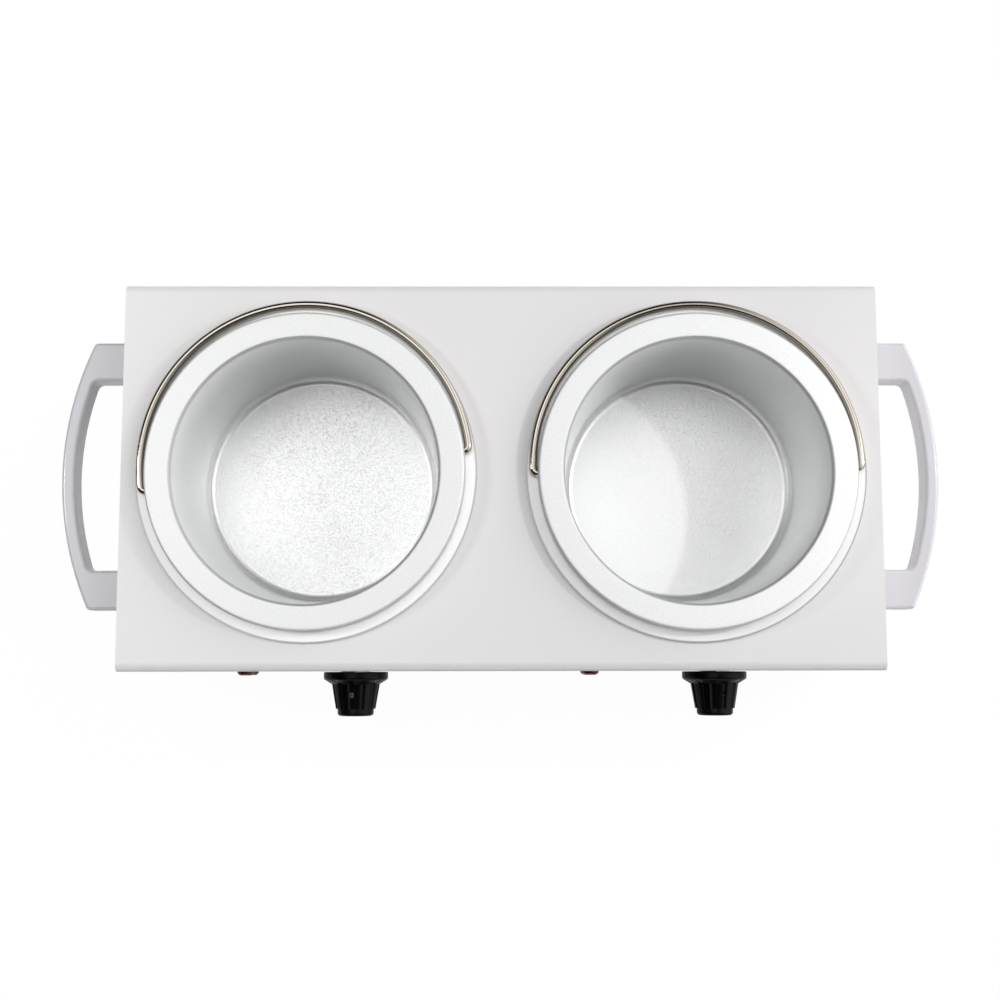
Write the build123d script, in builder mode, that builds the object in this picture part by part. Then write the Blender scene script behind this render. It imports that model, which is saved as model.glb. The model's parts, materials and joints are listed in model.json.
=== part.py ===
from build123d import *
import math
import os

# Double wax warmer: two lift-out pots hang in heated wells under one steel cover.
# Millimetres, +Z up, +X to the user's right, controls on the front towards -Y.
# The origin is on the table, under the middle of the whole object, knobs and inlet included.

os.makedirs("parts", exist_ok=True)

# Casing, sized round the wells' flanges
end_margin = 7.4  # from a flange to the casing's end
middle_gap = 23.8  # between the two flanges
side_margin = 11.9  # from a flange to the front or rear wall
body_height = 112.0
foot_height = 8.0
sheet = 1.0  # painted steel of the cover and the end panels
bend_radius = 4.0  # outside radius where the cover folds from top to front and rear
cover_lip = 12.0  # inward lips along the bottom of the front and rear walls
panel_lip = 12.0  # lips round the four sides of an end panel
lip_gap = 1.0  # between the ends of the cover's lips and the end panels
corner_ease = 0.5  # the end panels' corners are this much rounder than the cover's bend
base_sheet = 1.2
base_inset = 1.0  # base plate edge inside the casing's outline
base_corner = 3.0
base_screw_reach = 60.0  # of the base plate's screws from the casing's middle lines
vent_length = 34.0
vent_width = 4.0
vent_pitch = 11.0
vent_count = 7
vent_offset = 38.0  # of the two rows of vents from each pot's axis

# Pots
pot_y = 1.4  # behind the casing's middle
pot_mouth_radius = 63.5
pot_taper = 4.0  # the floor's radius is this much smaller than the mouth's
pot_depth = 75.0
pot_wall = 1.5
pot_floor_bend = 4.5
rim_width = 12.8
rim_rise = 9.0  # flat rim above the casing's top
rim_edge_bend = 1.6
mouth_bend = 1.0
pot_turn = {"left": 7.3, "right": 0.9}  # degrees that each pot stands turned in its well

# Bails
wire_radius = 1.9
hook_inset = 5.0  # the wire's ends reach this far inside the rim's edge
hook_bend = 2.6
arm_gap = 0.3  # between the wire and the rim's edge
hook_clearance = 0.4
pivot_rise = 2.8  # pivot above the well's flange
rest_gap = 0.3  # lying bail above the well's flange

# Wells
well_sheet = 1.5
well_clearance = 1.0  # round the pot, at its mouth
well_floor_gap = 0.5
well_floor_bend = 5.0
well_mouth_bend = 2.5
flange_margin = 5.3  # of the well's flange beyond the pot's rim
cover_hole_clearance = 1.0

# Band heaters and their lagging
seat_gap = 0.15  # between pieces slipped over each other
heater_thickness = 2.0
heater_height = 38.0
heater_rise = 10.0  # above the well's floor
heater_split = 8.0
heater_angle = 35.0  # the split is turned this far from the rear towards the middle
ear_length = 14.0
ear_sheet = 1.2
terminal_radius = 2.5
terminal_length = 8.0
terminal_angle = 14.0
clamp_offset = 8.7  # of the clamp screws outside the heater's band
clamp_pitch = 19.0
lagging_thickness = 3.2
lagging_height = 46.0
lagging_opening = 44.0  # degrees left open for the ears and the terminals

# Thermal cut-outs under the wells
spacer_length = 8.0
spacer_wall = 2.0
strap_thickness = 1.0
strap_width = 11.0
cutout_radius = 8.0
cutout_reach = 30.0
cutout_bevel = 0.8

# Controls
control_rise = 55.0  # knobs' axes above the base plate
knob_offset = {"left": 19.2, "right": 15.9}  # of the knobs from their pots' axes, along X
knob_turn = {"left": 7.8, "right": -17.0}  # degrees that each knob stands turned
knob_gap = 0.8
skirt_radius = 16.4
skirt_edge = 4.4  # height of the skirt's straight side
skirt_ease = 0.5
skirt_bend = 1.6
cap_start = 8.8
grip_end = 19.4
grip_radius = 12.6  # where the grip's slope would meet the top of the skirt's side
grip_taper = 9.5
flute_count = 12
flute_radius = 1.7
flute_depth = 0.9
cap_radius = 9.2
knob_length = 23.0
cap_bend = 1.6
knob_recess_radius = 9.6
knob_recess_depth = 4.2
grub_reach = 12.3  # of the grub screw's axis from the front wall
grub_length = 6.0
grub_socket = 1.5  # across the flats of its hexagon socket
grub_socket_depth = 2.0
shaft_radius = 3.0
shaft_flat = 2.4
shaft_fit = 0.05
shaft_reach = 17.0
shaft_tail = 9.0
shaft_end_gap = 0.5
bush_radius = 5.0
bush_reach = 4.0
bush_clearance = 0.15
thermostat_width = 34.0
thermostat_height = 30.0
thermostat_depth = 17.0
thermostat_corner = 2.0
blade_pitch = 12.0
blade_width = 6.3
blade_thickness = 0.8
blade_length = 8.0
nut_flats_10 = 14.0
nut_height_10 = 2.5

# Heat sensors
bulb_radius = 3.0
bulb_length = 48.0
bulb_drop = 2.0  # below the heater's lower edge
capillary_radius = 0.9
capillary_rise = 22.0  # above the base plate
capillary_offset = 13.0  # to the left of the knob's axis
capillary_inset = 4.0  # behind the thermostat's front
capillary_bends = [12.0, 8.0]

# Indicator lamps
lamp_offset = {"left": -36.0, "right": -48.2}  # of the lamps from their pots' axes, along X
lamp_pitch = 14.0
lens_radius = 4.35
lens_rim = 0.9
lens_rise = 3.2
lens_stem = 3.0
lamp_radius = 3.9
lamp_bore = 3.1
lamp_depth = 22.0
lamp_clearance = 0.15
lamp_tab_pitch = 4.0
lamp_tab_width = 2.8
lamp_tab_length = 5.0
clip_radius = 6.5
clip_thickness = 1.2
clip_slot_length = 2.0
clip_slot_width = 1.2

# Handles
handle_y = 3.0  # behind the casing's middle
handle_length = 133.4
handle_reach = 35.1
handle_corner_reach = 20.6
handle_top_drop = 22.0  # handle's top below the casing's top
handle_height = 14.0
handle_gap_length = 94.6
bow_width = 6.4
gap_corner_reach = 20.8
gap_corner_radius = 3.5
handle_edge = 1.8
collar_depth = 9.2
collar_step = 0.6

# Power switch and inlet on the rear wall
rear_rise = 28.0  # above the base plate
switch_x = -22.0
bezel_width = 15.0
bezel_height = 21.0
bezel_rise = 2.0
bezel_corner = 1.5
bezel_bevel = 0.6
switch_width = 12.8
switch_height = 18.8
switch_depth = 18.0
switch_fit = 0.2
switch_tab_pitch = 7.0
switch_tab_width = 4.8
rocker_width = 10.4
rocker_slot_width = 10.8
rocker_slot_height = 17.4
rocker_slot_depth = 4.8
rocker_throw = 20.0
rocker_pivot_depth = 1.2
rocker_valley = 3.3
rocker_half = 8.4
rocker_foot = 0.8
rocker_edge = 0.5
rocker_pin_radius = 1.2
rocker_pin_length = 1.0
inlet_x = 26.0
inlet_flange_width = 50.0
inlet_flange_height = 24.0
inlet_flange = 2.4
inlet_corner = 4.0
inlet_width = 27.5
inlet_height = 19.5
inlet_depth = 18.0
inlet_fit = 0.3
socket_width = 24.0
socket_height = 16.0
socket_depth = 15.0
socket_bevel = 5.0
inlet_screw_pitch = 40.0
pin_width = 4.0
pin_thickness = 2.0
pin_spread = 7.0
pin_offset = 2.0
pin_length = 13.5
pin_bevel = 0.5
tag_length = 9.0

# Terminal block and earth stud on the base plate
block_offset = -8.0  # from the casing's middle towards the front
block_length = 36.0
block_width = 17.0
block_height = 15.0
block_screw_pitch = 26.0
block_step_length = 7.0  # lower seats for the screws' heads
block_step_depth = 6.0
wire_bore_radius = 1.6
wire_bore_rise = 5.0
wire_bore_pitch = 6.5
clamp_bore_radius = 1.7
clamp_bore_pitch = 8.0
earth_offset = 52.0  # from the casing's middle towards the rear
earth_stud_length = 14.0

# Fasteners
stud_radius = 2.5
stud_end = 1.9
m3_radius = 1.45
m3_head = 2.8
m4_radius = 1.95
m4_head = 3.6
head_height = 2.2
head_bevel = 0.65
recess_share = 0.75  # of the head's width, crossed by the recess
recess_width = 0.9
recess_depth = 1.1
screw_end = 1.0  # screws stand this far out of their nuts
hole_play = 0.1
nut_flats_3 = 5.5
nut_flats_4 = 7.0
nut_flats_5 = 8.0
nut_height_3 = 2.4
nut_height_4 = 3.2
nut_height_5 = 4.0
washer_radius = 6.0
washer_thickness = 1.2
handle_screw_length = 15.0
base_screw_length = 6.0

# Feet
foot_inset_x = 27.0
foot_inset_y = 26.0
foot_top_radius = 10.0
foot_bottom_radius = 8.5
foot_recess_radius = 5.0
foot_recess_depth = 4.6
foot_edge = 1.0

# Radii that follow from the pot's mouth outwards
rim_radius = pot_mouth_radius + rim_width
pot_floor_radius = pot_mouth_radius - pot_taper
hook_reach = rim_radius - hook_inset
arm_radius = rim_radius + arm_gap + wire_radius
flange_radius = rim_radius + flange_margin

# Casing that follows
pot_pitch = 2 * flange_radius + middle_gap
body_width = pot_pitch + 2 * flange_radius + 2 * end_margin
body_depth = 2 * flange_radius + 2 * side_margin
casing_y = (knob_length - inlet_flange - head_height) / 2
front_y = casing_y - body_depth / 2
rear_y = casing_y + body_depth / 2

# Heights and the wells' radii that follow
base_top = foot_height + base_sheet
plate_top = foot_height + body_height
rim_top = plate_top + rim_rise
flange_top = plate_top + well_sheet
pot_floor = rim_top - pot_depth
well_floor = pot_floor - pot_wall - well_floor_gap
well_under = well_floor - well_sheet
well_radius = pot_mouth_radius + pot_wall + well_clearance
well_outside = well_radius + well_sheet
pivot_z = flange_top + pivot_rise
heater_base = well_floor + heater_rise
heater_inside = well_outside + seat_gap
heater_outside = heater_inside + heater_thickness
lagging_inside = heater_outside + seat_gap
lagging_outside = lagging_inside + lagging_thickness
lagging_base = heater_base - (lagging_height - heater_height) / 2
strap_z = well_under - spacer_length - strap_thickness
control_z = foot_height + control_rise
rear_z = foot_height + rear_rise
handle_top = plate_top - handle_top_drop
handle_mid_z = handle_top - handle_height / 2
post_width = (handle_length - handle_gap_length) / 2
post_spread = (handle_length - post_width) / 2

sides = {"left": -1, "right": 1}
pot_centres = {
    side: (sign * pot_pitch / 2, casing_y + pot_y) for side, sign in sides.items()
}
knob_x = {side: centre[0] + knob_offset[side] for side, centre in pot_centres.items()}
lamp_x = {side: centre[0] + lamp_offset[side] for side, centre in pot_centres.items()}


def casing_outline(inset, station, radius):
    """Cross-section of the casing, inset from its outside, at one place along X."""
    with BuildSketch(Plane.YZ.offset(station)) as outline:
        with Locations((casing_y, base_top)):
            Rectangle(
                body_depth - 2 * inset,
                plate_top - inset - base_top,
                align=(Align.CENTER, Align.MIN),
            )
        fillet(outline.vertices().group_by(Axis.Y)[-1], radius)
    return outline.sketch


def pan_screw(shank_radius, shank_length, head_radius):
    """Screw whose head stands on z = 0 and whose shank runs down, with a cross recess."""
    with BuildPart() as screw:
        with BuildSketch():
            Circle(head_radius)
        extrude(amount=head_height)
        chamfer(screw.faces().sort_by(Axis.Z)[-1].edges(), head_bevel)
        recess_length = 2 * head_radius * recess_share
        with BuildSketch(Plane.XY.offset(head_height)):
            Rectangle(recess_length, recess_width)
            Rectangle(recess_width, recess_length)
        extrude(amount=-recess_depth, mode=Mode.SUBTRACT)
        with BuildSketch():
            Circle(shank_radius)
        extrude(amount=-shank_length)
    return screw.part


def hex_nut(bore_radius, flats, height):
    """Hexagon nut standing on z = 0."""
    with BuildPart() as nut:
        with BuildSketch():
            RegularPolygon(flats / 2, 6, major_radius=False)
            Circle(bore_radius, mode=Mode.SUBTRACT)
        extrude(amount=height)
    return nut.part


def facing(origin, direction):
    """Plane at a point whose normal runs along a direction."""
    return Plane(origin=origin, z_dir=direction)


def four_corners(reach_x, reach_y):
    """Points to all four sides of the casing's middle."""
    return [(sx * reach_x, casing_y + sy * reach_y) for sx in (-1, 1) for sy in (-1, 1)]


# Places of the fasteners and their heads' directions
down = (0, 0, -1)
panel_lip_x = body_width / 2 - sheet - panel_lip / 2
cover_lip_y = body_depth / 2 - sheet - cover_lip / 2
panel_screw_places = four_corners(panel_lip_x, base_screw_reach)
cover_screw_places = four_corners(base_screw_reach, cover_lip_y)
base_screw_places = panel_screw_places + cover_screw_places
foot_places = four_corners(body_width / 2 - foot_inset_x, body_depth / 2 - foot_inset_y)
handle_mid_y = casing_y + handle_y
handle_screw_rows = [handle_mid_y - post_spread, handle_mid_y + post_spread]
block_place = (0, casing_y + block_offset)
earth_place = (0, casing_y + earth_offset)
clamp_levels = [
    heater_base + (heater_height + end * clamp_pitch) / 2 for end in (-1, 1)
]

# Front wall, seen from the front: local x along +X, local y along +Z
front = Plane(origin=(0, front_y, 0), x_dir=(1, 0, 0), z_dir=(0, -1, 0))
# Rear wall, seen from the rear: local x along -X, local y along +Z
rear = Plane(origin=(0, rear_y, 0), x_dir=(-1, 0, 0), z_dir=(0, 1, 0))
lamp_rows = {"red": control_z + lamp_pitch / 2, "green": control_z - lamp_pitch / 2}

# Cover: one sheet folded over top, front and rear, with a lip inside each long edge
with BuildPart() as cover:
    extrude(casing_outline(0, 0, bend_radius), amount=body_width / 2, both=True)
    extrude(
        casing_outline(sheet, 0, bend_radius - sheet),
        amount=body_width / 2,
        both=True,
        mode=Mode.SUBTRACT,
    )
    with BuildSketch(Plane.XY.offset(base_top)):
        with Locations((0, casing_y - cover_lip_y), (0, casing_y + cover_lip_y)):
            Rectangle(body_width - 2 * (sheet + panel_lip + lip_gap), cover_lip)
    extrude(amount=sheet)
    with BuildSketch(Plane.XY.offset(plate_top)):
        with Locations(*pot_centres.values()):
            Circle(well_outside + cover_hole_clearance)
    extrude(amount=-sheet, mode=Mode.SUBTRACT)
    with BuildSketch(front):
        for side in sides:
            with Locations((knob_x[side], control_z)):
                Circle(bush_radius + bush_clearance)
            with Locations(*[(lamp_x[side], row) for row in lamp_rows.values()]):
                Circle(lamp_radius + lamp_clearance)
    extrude(amount=-sheet, mode=Mode.SUBTRACT)
    with BuildSketch(rear):
        with Locations((-switch_x, rear_z)):
            Rectangle(switch_width + 2 * switch_fit, switch_height + 2 * switch_fit)
        with Locations((-inlet_x, rear_z)):
            Rectangle(inlet_width + 2 * inlet_fit, inlet_height + 2 * inlet_fit)
            with GridLocations(inlet_screw_pitch, 0, 2, 1):
                Circle(m3_radius + hole_play)
    extrude(amount=-sheet, mode=Mode.SUBTRACT)
    with BuildSketch(Plane.XY.offset(base_top)):
        with Locations(*cover_screw_places):
            Circle(m3_radius + hole_play)
    extrude(amount=sheet, mode=Mode.SUBTRACT)
cover.part.label = "cover"
export_step(cover.part, "parts/cover.step")

# End panels: pans with a lip all round, inside the cover's ends
for side, sign in sides.items():
    with BuildPart() as end_panel:
        extrude(
            casing_outline(
                sheet,
                sign * (body_width / 2 - sheet - panel_lip),
                bend_radius - sheet + corner_ease,
            ),
            amount=sign * (sheet + panel_lip),
        )
        inner_side = end_panel.faces().sort_by(Axis.X)[0 if sign > 0 else -1]
        offset(amount=-sheet, openings=inner_side)
        with BuildSketch(Plane.YZ.offset(sign * body_width / 2)):
            with Locations(*[(row, handle_mid_z) for row in handle_screw_rows]):
                Circle(m4_radius + hole_play)
        extrude(amount=-sign * sheet, mode=Mode.SUBTRACT)
        with BuildSketch(Plane.XY.offset(base_top)):
            with Locations(*[place for place in panel_screw_places if place[0] * sign > 0]):
                Circle(m3_radius + hole_play)
        extrude(amount=sheet, mode=Mode.SUBTRACT)
    end_panel.part.label = f"end_panel_{side}"
    export_step(end_panel.part, f"parts/end_panel_{side}.step")

# Base plate: flat sheet under the lips, with vent slots below each well
with BuildPart() as base_plate:
    with BuildSketch(Plane.XY.offset(foot_height)):
        with Locations((0, casing_y)):
            RectangleRounded(
                body_width - 2 * base_inset, body_depth - 2 * base_inset, base_corner
            )
        with Locations(*base_screw_places):
            Circle(m3_radius + hole_play, mode=Mode.SUBTRACT)
        with Locations(*foot_places, earth_place):
            Circle(m4_radius + hole_play, mode=Mode.SUBTRACT)
        with Locations(*pot_centres.values()):
            Circle(stud_radius + hole_play, mode=Mode.SUBTRACT)
        for x, y in pot_centres.values():
            with Locations((x, y + vent_offset), (x, y - vent_offset)):
                with GridLocations(vent_pitch, 0, vent_count, 1):
                    SlotOverall(vent_length, vent_width, rotation=90, mode=Mode.SUBTRACT)
        with Locations(block_place):
            with GridLocations(0, block_screw_pitch, 1, 2):
                Circle(m3_radius + hole_play, mode=Mode.SUBTRACT)
    extrude(amount=base_sheet)
base_plate.part.label = "base_plate"
export_step(base_plate.part, "parts/base_plate.step")

base_screw = pan_screw(m3_radius, base_screw_length, m3_head)
with BuildPart() as base_screws:
    with Locations(*[facing((x, y, foot_height), down) for x, y in base_screw_places]):
        add(base_screw)
base_screws.part.label = "base_screws"
export_step(base_screws.part, "parts/base_screws.step")

# Feet: rubber buttons screwed on from below, with the screw head sunk in
with BuildPart() as rubber_feet:
    for x, y in foot_places:
        with BuildSketch(Plane(origin=(x, y, 0), x_dir=(1, 0, 0), z_dir=(0, -1, 0))):
            with BuildLine():
                FilletPolyline(
                    (m4_radius + hole_play, foot_recess_depth),
                    (foot_recess_radius, foot_recess_depth),
                    (foot_recess_radius, 0),
                    (foot_bottom_radius, 0),
                    (foot_top_radius, foot_height),
                    (m4_radius + hole_play, foot_height),
                    radius=[0, 0, foot_edge, 0, 0, 0],
                    close=True,
                )
            make_face()
        revolve(axis=Axis((x, y, 0), (0, 0, 1)))
rubber_feet.part.label = "rubber_feet"
export_step(rubber_feet.part, "parts/rubber_feet.step")

foot_screw_length = base_top + nut_height_4 + screw_end - foot_recess_depth
foot_screw = pan_screw(m4_radius, foot_screw_length, m4_head)
with BuildPart() as foot_screws:
    with Locations(*[facing((x, y, foot_recess_depth), down) for x, y in foot_places]):
        add(foot_screw)
foot_screws.part.label = "foot_screws"
export_step(foot_screws.part, "parts/foot_screws.step")

foot_nut = hex_nut(m4_radius + hole_play, nut_flats_4, nut_height_4)
with BuildPart() as foot_nuts:
    with Locations(*[(x, y, base_top) for x, y in foot_places]):
        add(foot_nut)
foot_nuts.part.label = "foot_nuts"
export_step(foot_nuts.part, "parts/foot_nuts.step")

# Handles: D-shaped mouldings, two posts and a bowed grip, flared where they meet the casing
for side, sign in sides.items():
    wall = sign * body_width / 2
    handle_plane = Plane(
        origin=(wall, handle_mid_y, handle_top),
        x_dir=(sign, 0, 0),
        z_dir=(0, 0, 1),
    )
    half = handle_length / 2
    gap_half = handle_gap_length / 2
    with BuildPart() as handle:
        with BuildSketch(handle_plane):
            with BuildLine():
                Polyline(
                    (handle_corner_reach, half),
                    (0, half),
                    (0, -half),
                    (handle_corner_reach, -half),
                )
                ThreePointArc(
                    (handle_corner_reach, -half),
                    (handle_reach, 0),
                    (handle_corner_reach, half),
                )
            make_face()
        with BuildSketch(handle_plane, mode=Mode.PRIVATE) as finger_gap:
            with BuildLine():
                Polyline(
                    (gap_corner_reach, gap_half),
                    (0, gap_half),
                    (0, -gap_half),
                    (gap_corner_reach, -gap_half),
                )
                ThreePointArc(
                    (gap_corner_reach, -gap_half),
                    (handle_reach - bow_width, 0),
                    (gap_corner_reach, gap_half),
                )
            make_face()
            fillet(finger_gap.vertices().group_by(Axis.X)[-1], gap_corner_radius)
        extrude(amount=-handle_height)
        extrude(finger_gap.sketch, amount=-handle_height, mode=Mode.SUBTRACT)
        rims = handle.faces().filter_by(Axis.Z).edges()
        wall_edges = rims.group_by(Axis.X)[0 if sign > 0 else -1]
        fillet(rims - wall_edges, handle_edge)
        with BuildSketch(handle_plane.offset(collar_step)):
            with GridLocations(0, 2 * post_spread, 1, 2):
                Rectangle(
                    collar_depth,
                    post_width + 2 * collar_step,
                    align=(Align.MIN, Align.CENTER),
                )
        extrude(amount=-handle_height - 2 * collar_step)
        with BuildSketch(Plane(origin=(wall, 0, 0), x_dir=(0, 1, 0), z_dir=(1, 0, 0))):
            with Locations(*[(row, handle_mid_z) for row in handle_screw_rows]):
                Circle(m4_radius + hole_play)
        extrude(amount=sign * (handle_screw_length - sheet + screw_end), mode=Mode.SUBTRACT)
    handle.part.label = f"handle_{side}"
    export_step(handle.part, f"parts/handle_{side}.step")

handle_screw = pan_screw(m4_radius, handle_screw_length, m4_head)
with BuildPart() as handle_screws:
    for side, sign in sides.items():
        inner_face = sign * (body_width / 2 - sheet)
        for row in handle_screw_rows:
            with Locations(facing((inner_face, row, handle_mid_z), (-sign, 0, 0))):
                add(handle_screw)
handle_screws.part.label = "handle_screws"
export_step(handle_screws.part, "parts/handle_screws.step")

# Wells, heaters, lagging, pots and bails, the same on both sides
clamp_reach = heater_inside + clamp_offset
ear_plane = {}
for side, sign in sides.items():
    x, y = pot_centres[side]
    axis = Axis((x, y, 0), (0, 0, 1))
    section = Plane(origin=(x, y, 0), x_dir=(1, 0, 0), z_dir=(0, -1, 0))
    split_angle = math.radians(90 + sign * heater_angle)
    split_dir = (math.cos(split_angle), math.sin(split_angle), 0)
    ear_plane[side] = Plane(origin=(x, y, 0), x_dir=split_dir, z_dir=(0, 0, 1))

    with BuildPart() as well:
        with BuildSketch(section):
            with BuildLine():
                inside = FilletPolyline(
                    (0, well_floor),
                    (well_radius, well_floor),
                    (well_radius, flange_top),
                    (flange_radius, flange_top),
                    radius=[well_floor_bend, well_mouth_bend],
                )
                offset(inside, amount=well_sheet, side=Side.RIGHT)
            make_face()
        revolve(axis=axis)
    well.part.label = f"well_{side}"
    export_step(well.part, f"parts/well_{side}.step")

    with BuildPart() as heater:
        with BuildSketch(ear_plane[side].offset(heater_base)):
            Circle(heater_outside)
            Circle(heater_inside, mode=Mode.SUBTRACT)
            with Locations((heater_inside, 0)):
                Rectangle(heater_thickness * 3, heater_split, mode=Mode.SUBTRACT)
            with Locations((heater_inside + seat_gap, heater_split / 2)):
                Rectangle(ear_length, ear_sheet, align=(Align.MIN, Align.MIN))
            with Locations((heater_inside + seat_gap, -heater_split / 2)):
                Rectangle(ear_length, ear_sheet, align=(Align.MIN, Align.MAX))
        extrude(amount=heater_height)
        for turn in (-terminal_angle, terminal_angle):
            mid = ear_plane[side].rotated((0, 0, turn)).offset(heater_base + heater_height / 2)
            root = mid.origin + mid.x_dir * (heater_inside + heater_thickness / 2)
            with BuildSketch(facing(root, mid.x_dir)):
                Circle(terminal_radius)
            extrude(amount=terminal_length)
        hole_foot = ear_plane[side].origin + ear_plane[side].x_dir * clamp_reach
        for level in clamp_levels:
            with BuildSketch(facing(hole_foot + Vector(0, 0, level), ear_plane[side].y_dir)):
                Circle(m4_radius + hole_play)
            extrude(amount=heater_split, both=True, mode=Mode.SUBTRACT)
    heater.part.label = f"heater_{side}"
    export_step(heater.part, f"parts/heater_{side}.step")

    with BuildPart() as lagging:
        with BuildSketch(ear_plane[side].offset(lagging_base)):
            Circle(lagging_outside)
            Circle(lagging_inside, mode=Mode.SUBTRACT)
            with BuildLine():
                half_open = math.tan(math.radians(lagging_opening / 2))
                reach = 2 * lagging_outside
                Polyline((0, 0), (reach, reach * half_open), (reach, -reach * half_open), close=True)
            make_face(mode=Mode.SUBTRACT)
        extrude(amount=lagging_height)
    lagging.part.label = f"lagging_{side}"
    export_step(lagging.part, f"parts/lagging_{side}.step")

    turn = math.radians(pot_turn[side])
    hinge_dir = (math.cos(turn), math.sin(turn), 0)
    hinge_plane = Plane(origin=(x, y, pivot_z), z_dir=hinge_dir)
    with BuildPart() as pot:
        with BuildSketch(section):
            with BuildLine():
                inside = FilletPolyline(
                    (0, pot_floor),
                    (pot_floor_radius, pot_floor),
                    (pot_mouth_radius, rim_top),
                    (rim_radius, rim_top),
                    (rim_radius, flange_top),
                    radius=[pot_floor_bend, mouth_bend, rim_edge_bend],
                )
                offset(inside, amount=pot_wall, side=Side.RIGHT)
            make_face()
        revolve(axis=axis)
        for end in (-1, 1):
            with BuildSketch(hinge_plane.offset(end * hook_reach)):
                Circle(wire_radius + hook_clearance)
            extrude(amount=end * (hook_inset + pot_wall), mode=Mode.SUBTRACT)
    pot.part.label = f"pot_{side}"
    export_step(pot.part, f"parts/pot_{side}.step")

    crown_reach = arm_radius + hook_bend
    lying_drop = pivot_rise - wire_radius - rest_gap
    lying = math.asin(lying_drop / crown_reach)
    bail_normal = (
        -math.sin(turn) * math.sin(lying),
        math.cos(turn) * math.sin(lying),
        math.cos(lying),
    )
    with BuildPart() as bail:
        bail_plane = Plane(origin=(x, y, pivot_z), x_dir=hinge_dir, z_dir=bail_normal)
        with BuildLine(bail_plane) as wire:
            hook = Line((hook_reach, 0), (arm_radius - hook_bend, 0))
            bend = JernArc(start=hook @ 1, tangent=(1, 0), radius=hook_bend, arc_size=90)
            crown = JernArc(start=bend @ 1, tangent=(0, 1), radius=arm_radius, arc_size=180)
            far_bend = JernArc(start=crown @ 1, tangent=(0, -1), radius=hook_bend, arc_size=90)
            Line(far_bend @ 1, (-hook_reach, 0))
        with BuildSketch(wire.wire() ^ 0):
            Circle(wire_radius)
        sweep(path=wire.wire())
    bail.part.label = f"bail_{side}"
    export_step(bail.part, f"parts/bail_{side}.step")

# Clamp screws that draw the band heaters tight, each with its nut
clamp_length = heater_split + 2 * ear_sheet + nut_height_4 + screw_end
clamp_screw = pan_screw(m4_radius, clamp_length, m4_head)
clamp_nut = hex_nut(m4_radius + hole_play, nut_flats_4, nut_height_4)
ear_face = heater_split / 2 + ear_sheet
with BuildPart() as heater_screws:
    for plane in ear_plane.values():
        for level in clamp_levels:
            ear_side = plane.origin + plane.x_dir * clamp_reach + plane.y_dir * ear_face
            with Locations(facing(ear_side + Vector(0, 0, level), plane.y_dir)):
                add(clamp_screw)
heater_screws.part.label = "heater_screws"
export_step(heater_screws.part, "parts/heater_screws.step")

with BuildPart() as heater_nuts:
    for plane in ear_plane.values():
        for level in clamp_levels:
            ear_side = plane.origin + plane.x_dir * clamp_reach - plane.y_dir * ear_face
            with Locations(facing(ear_side + Vector(0, 0, level), -plane.y_dir)):
                add(clamp_nut)
heater_nuts.part.label = "heater_nuts"
export_step(heater_nuts.part, "parts/heater_nuts.step")

# Centre studs: each draws its well down on the cover, with a washer and nut under the base
with BuildPart() as well_studs:
    with BuildSketch(Plane.XY.offset(stud_end)):
        with Locations(*pot_centres.values()):
            Circle(stud_radius)
    extrude(amount=well_under - stud_end)
well_studs.part.label = "well_studs"
export_step(well_studs.part, "parts/well_studs.step")

with BuildPart() as stud_washers:
    with BuildSketch(Plane.XY.offset(foot_height - washer_thickness)):
        with Locations(*pot_centres.values()):
            Circle(washer_radius)
            Circle(stud_radius + hole_play, mode=Mode.SUBTRACT)
    extrude(amount=washer_thickness)
stud_washers.part.label = "stud_washers"
export_step(stud_washers.part, "parts/stud_washers.step")

stud_nut = hex_nut(stud_radius + hole_play, nut_flats_5, nut_height_5)
nut_levels = [foot_height - washer_thickness - nut_height_5, strap_z - nut_height_5]
with BuildPart() as stud_nuts:
    with Locations(*[(x, y, z) for x, y in pot_centres.values() for z in nut_levels]):
        add(stud_nut)
stud_nuts.part.label = "stud_nuts"
export_step(stud_nuts.part, "parts/stud_nuts.step")

# Spacers and straps on the studs hold the thermal cut-outs against the well floors
with BuildPart() as stud_spacers:
    with BuildSketch(Plane.XY.offset(well_under - spacer_length)):
        with Locations(*pot_centres.values()):
            Circle(stud_radius + spacer_wall)
            Circle(stud_radius + hole_play, mode=Mode.SUBTRACT)
    extrude(amount=spacer_length)
stud_spacers.part.label = "stud_spacers"
export_step(stud_spacers.part, "parts/stud_spacers.step")

with BuildPart() as cutout_straps:
    with BuildSketch(Plane.XY.offset(strap_z)):
        for side, sign in sides.items():
            x, y = pot_centres[side]
            with Locations((x + sign * cutout_reach / 2, y)):
                SlotCenterToCenter(cutout_reach, strap_width)
            with Locations((x, y)):
                Circle(stud_radius + hole_play, mode=Mode.SUBTRACT)
    extrude(amount=strap_thickness)
cutout_straps.part.label = "cutout_straps"
export_step(cutout_straps.part, "parts/cutout_straps.step")

for side, sign in sides.items():
    x, y = pot_centres[side]
    with BuildPart() as cutout:
        with BuildSketch(Plane.XY.offset(well_under - spacer_length)):
            with Locations((x + sign * cutout_reach, y)):
                Circle(cutout_radius)
        extrude(amount=spacer_length)
        chamfer(cutout.faces().sort_by(Axis.Z)[-1].edges(), cutout_bevel)
        with BuildSketch(Plane.XY.offset(well_under - spacer_length / 2)):
            with Locations((x + sign * cutout_reach, y)):
                Rectangle(blade_thickness, 2 * cutout_radius + 2 * blade_length)
        extrude(amount=blade_thickness)
    cutout.part.label = f"thermal_cutout_{side}"
    export_step(cutout.part, f"parts/thermal_cutout_{side}.step")

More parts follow.
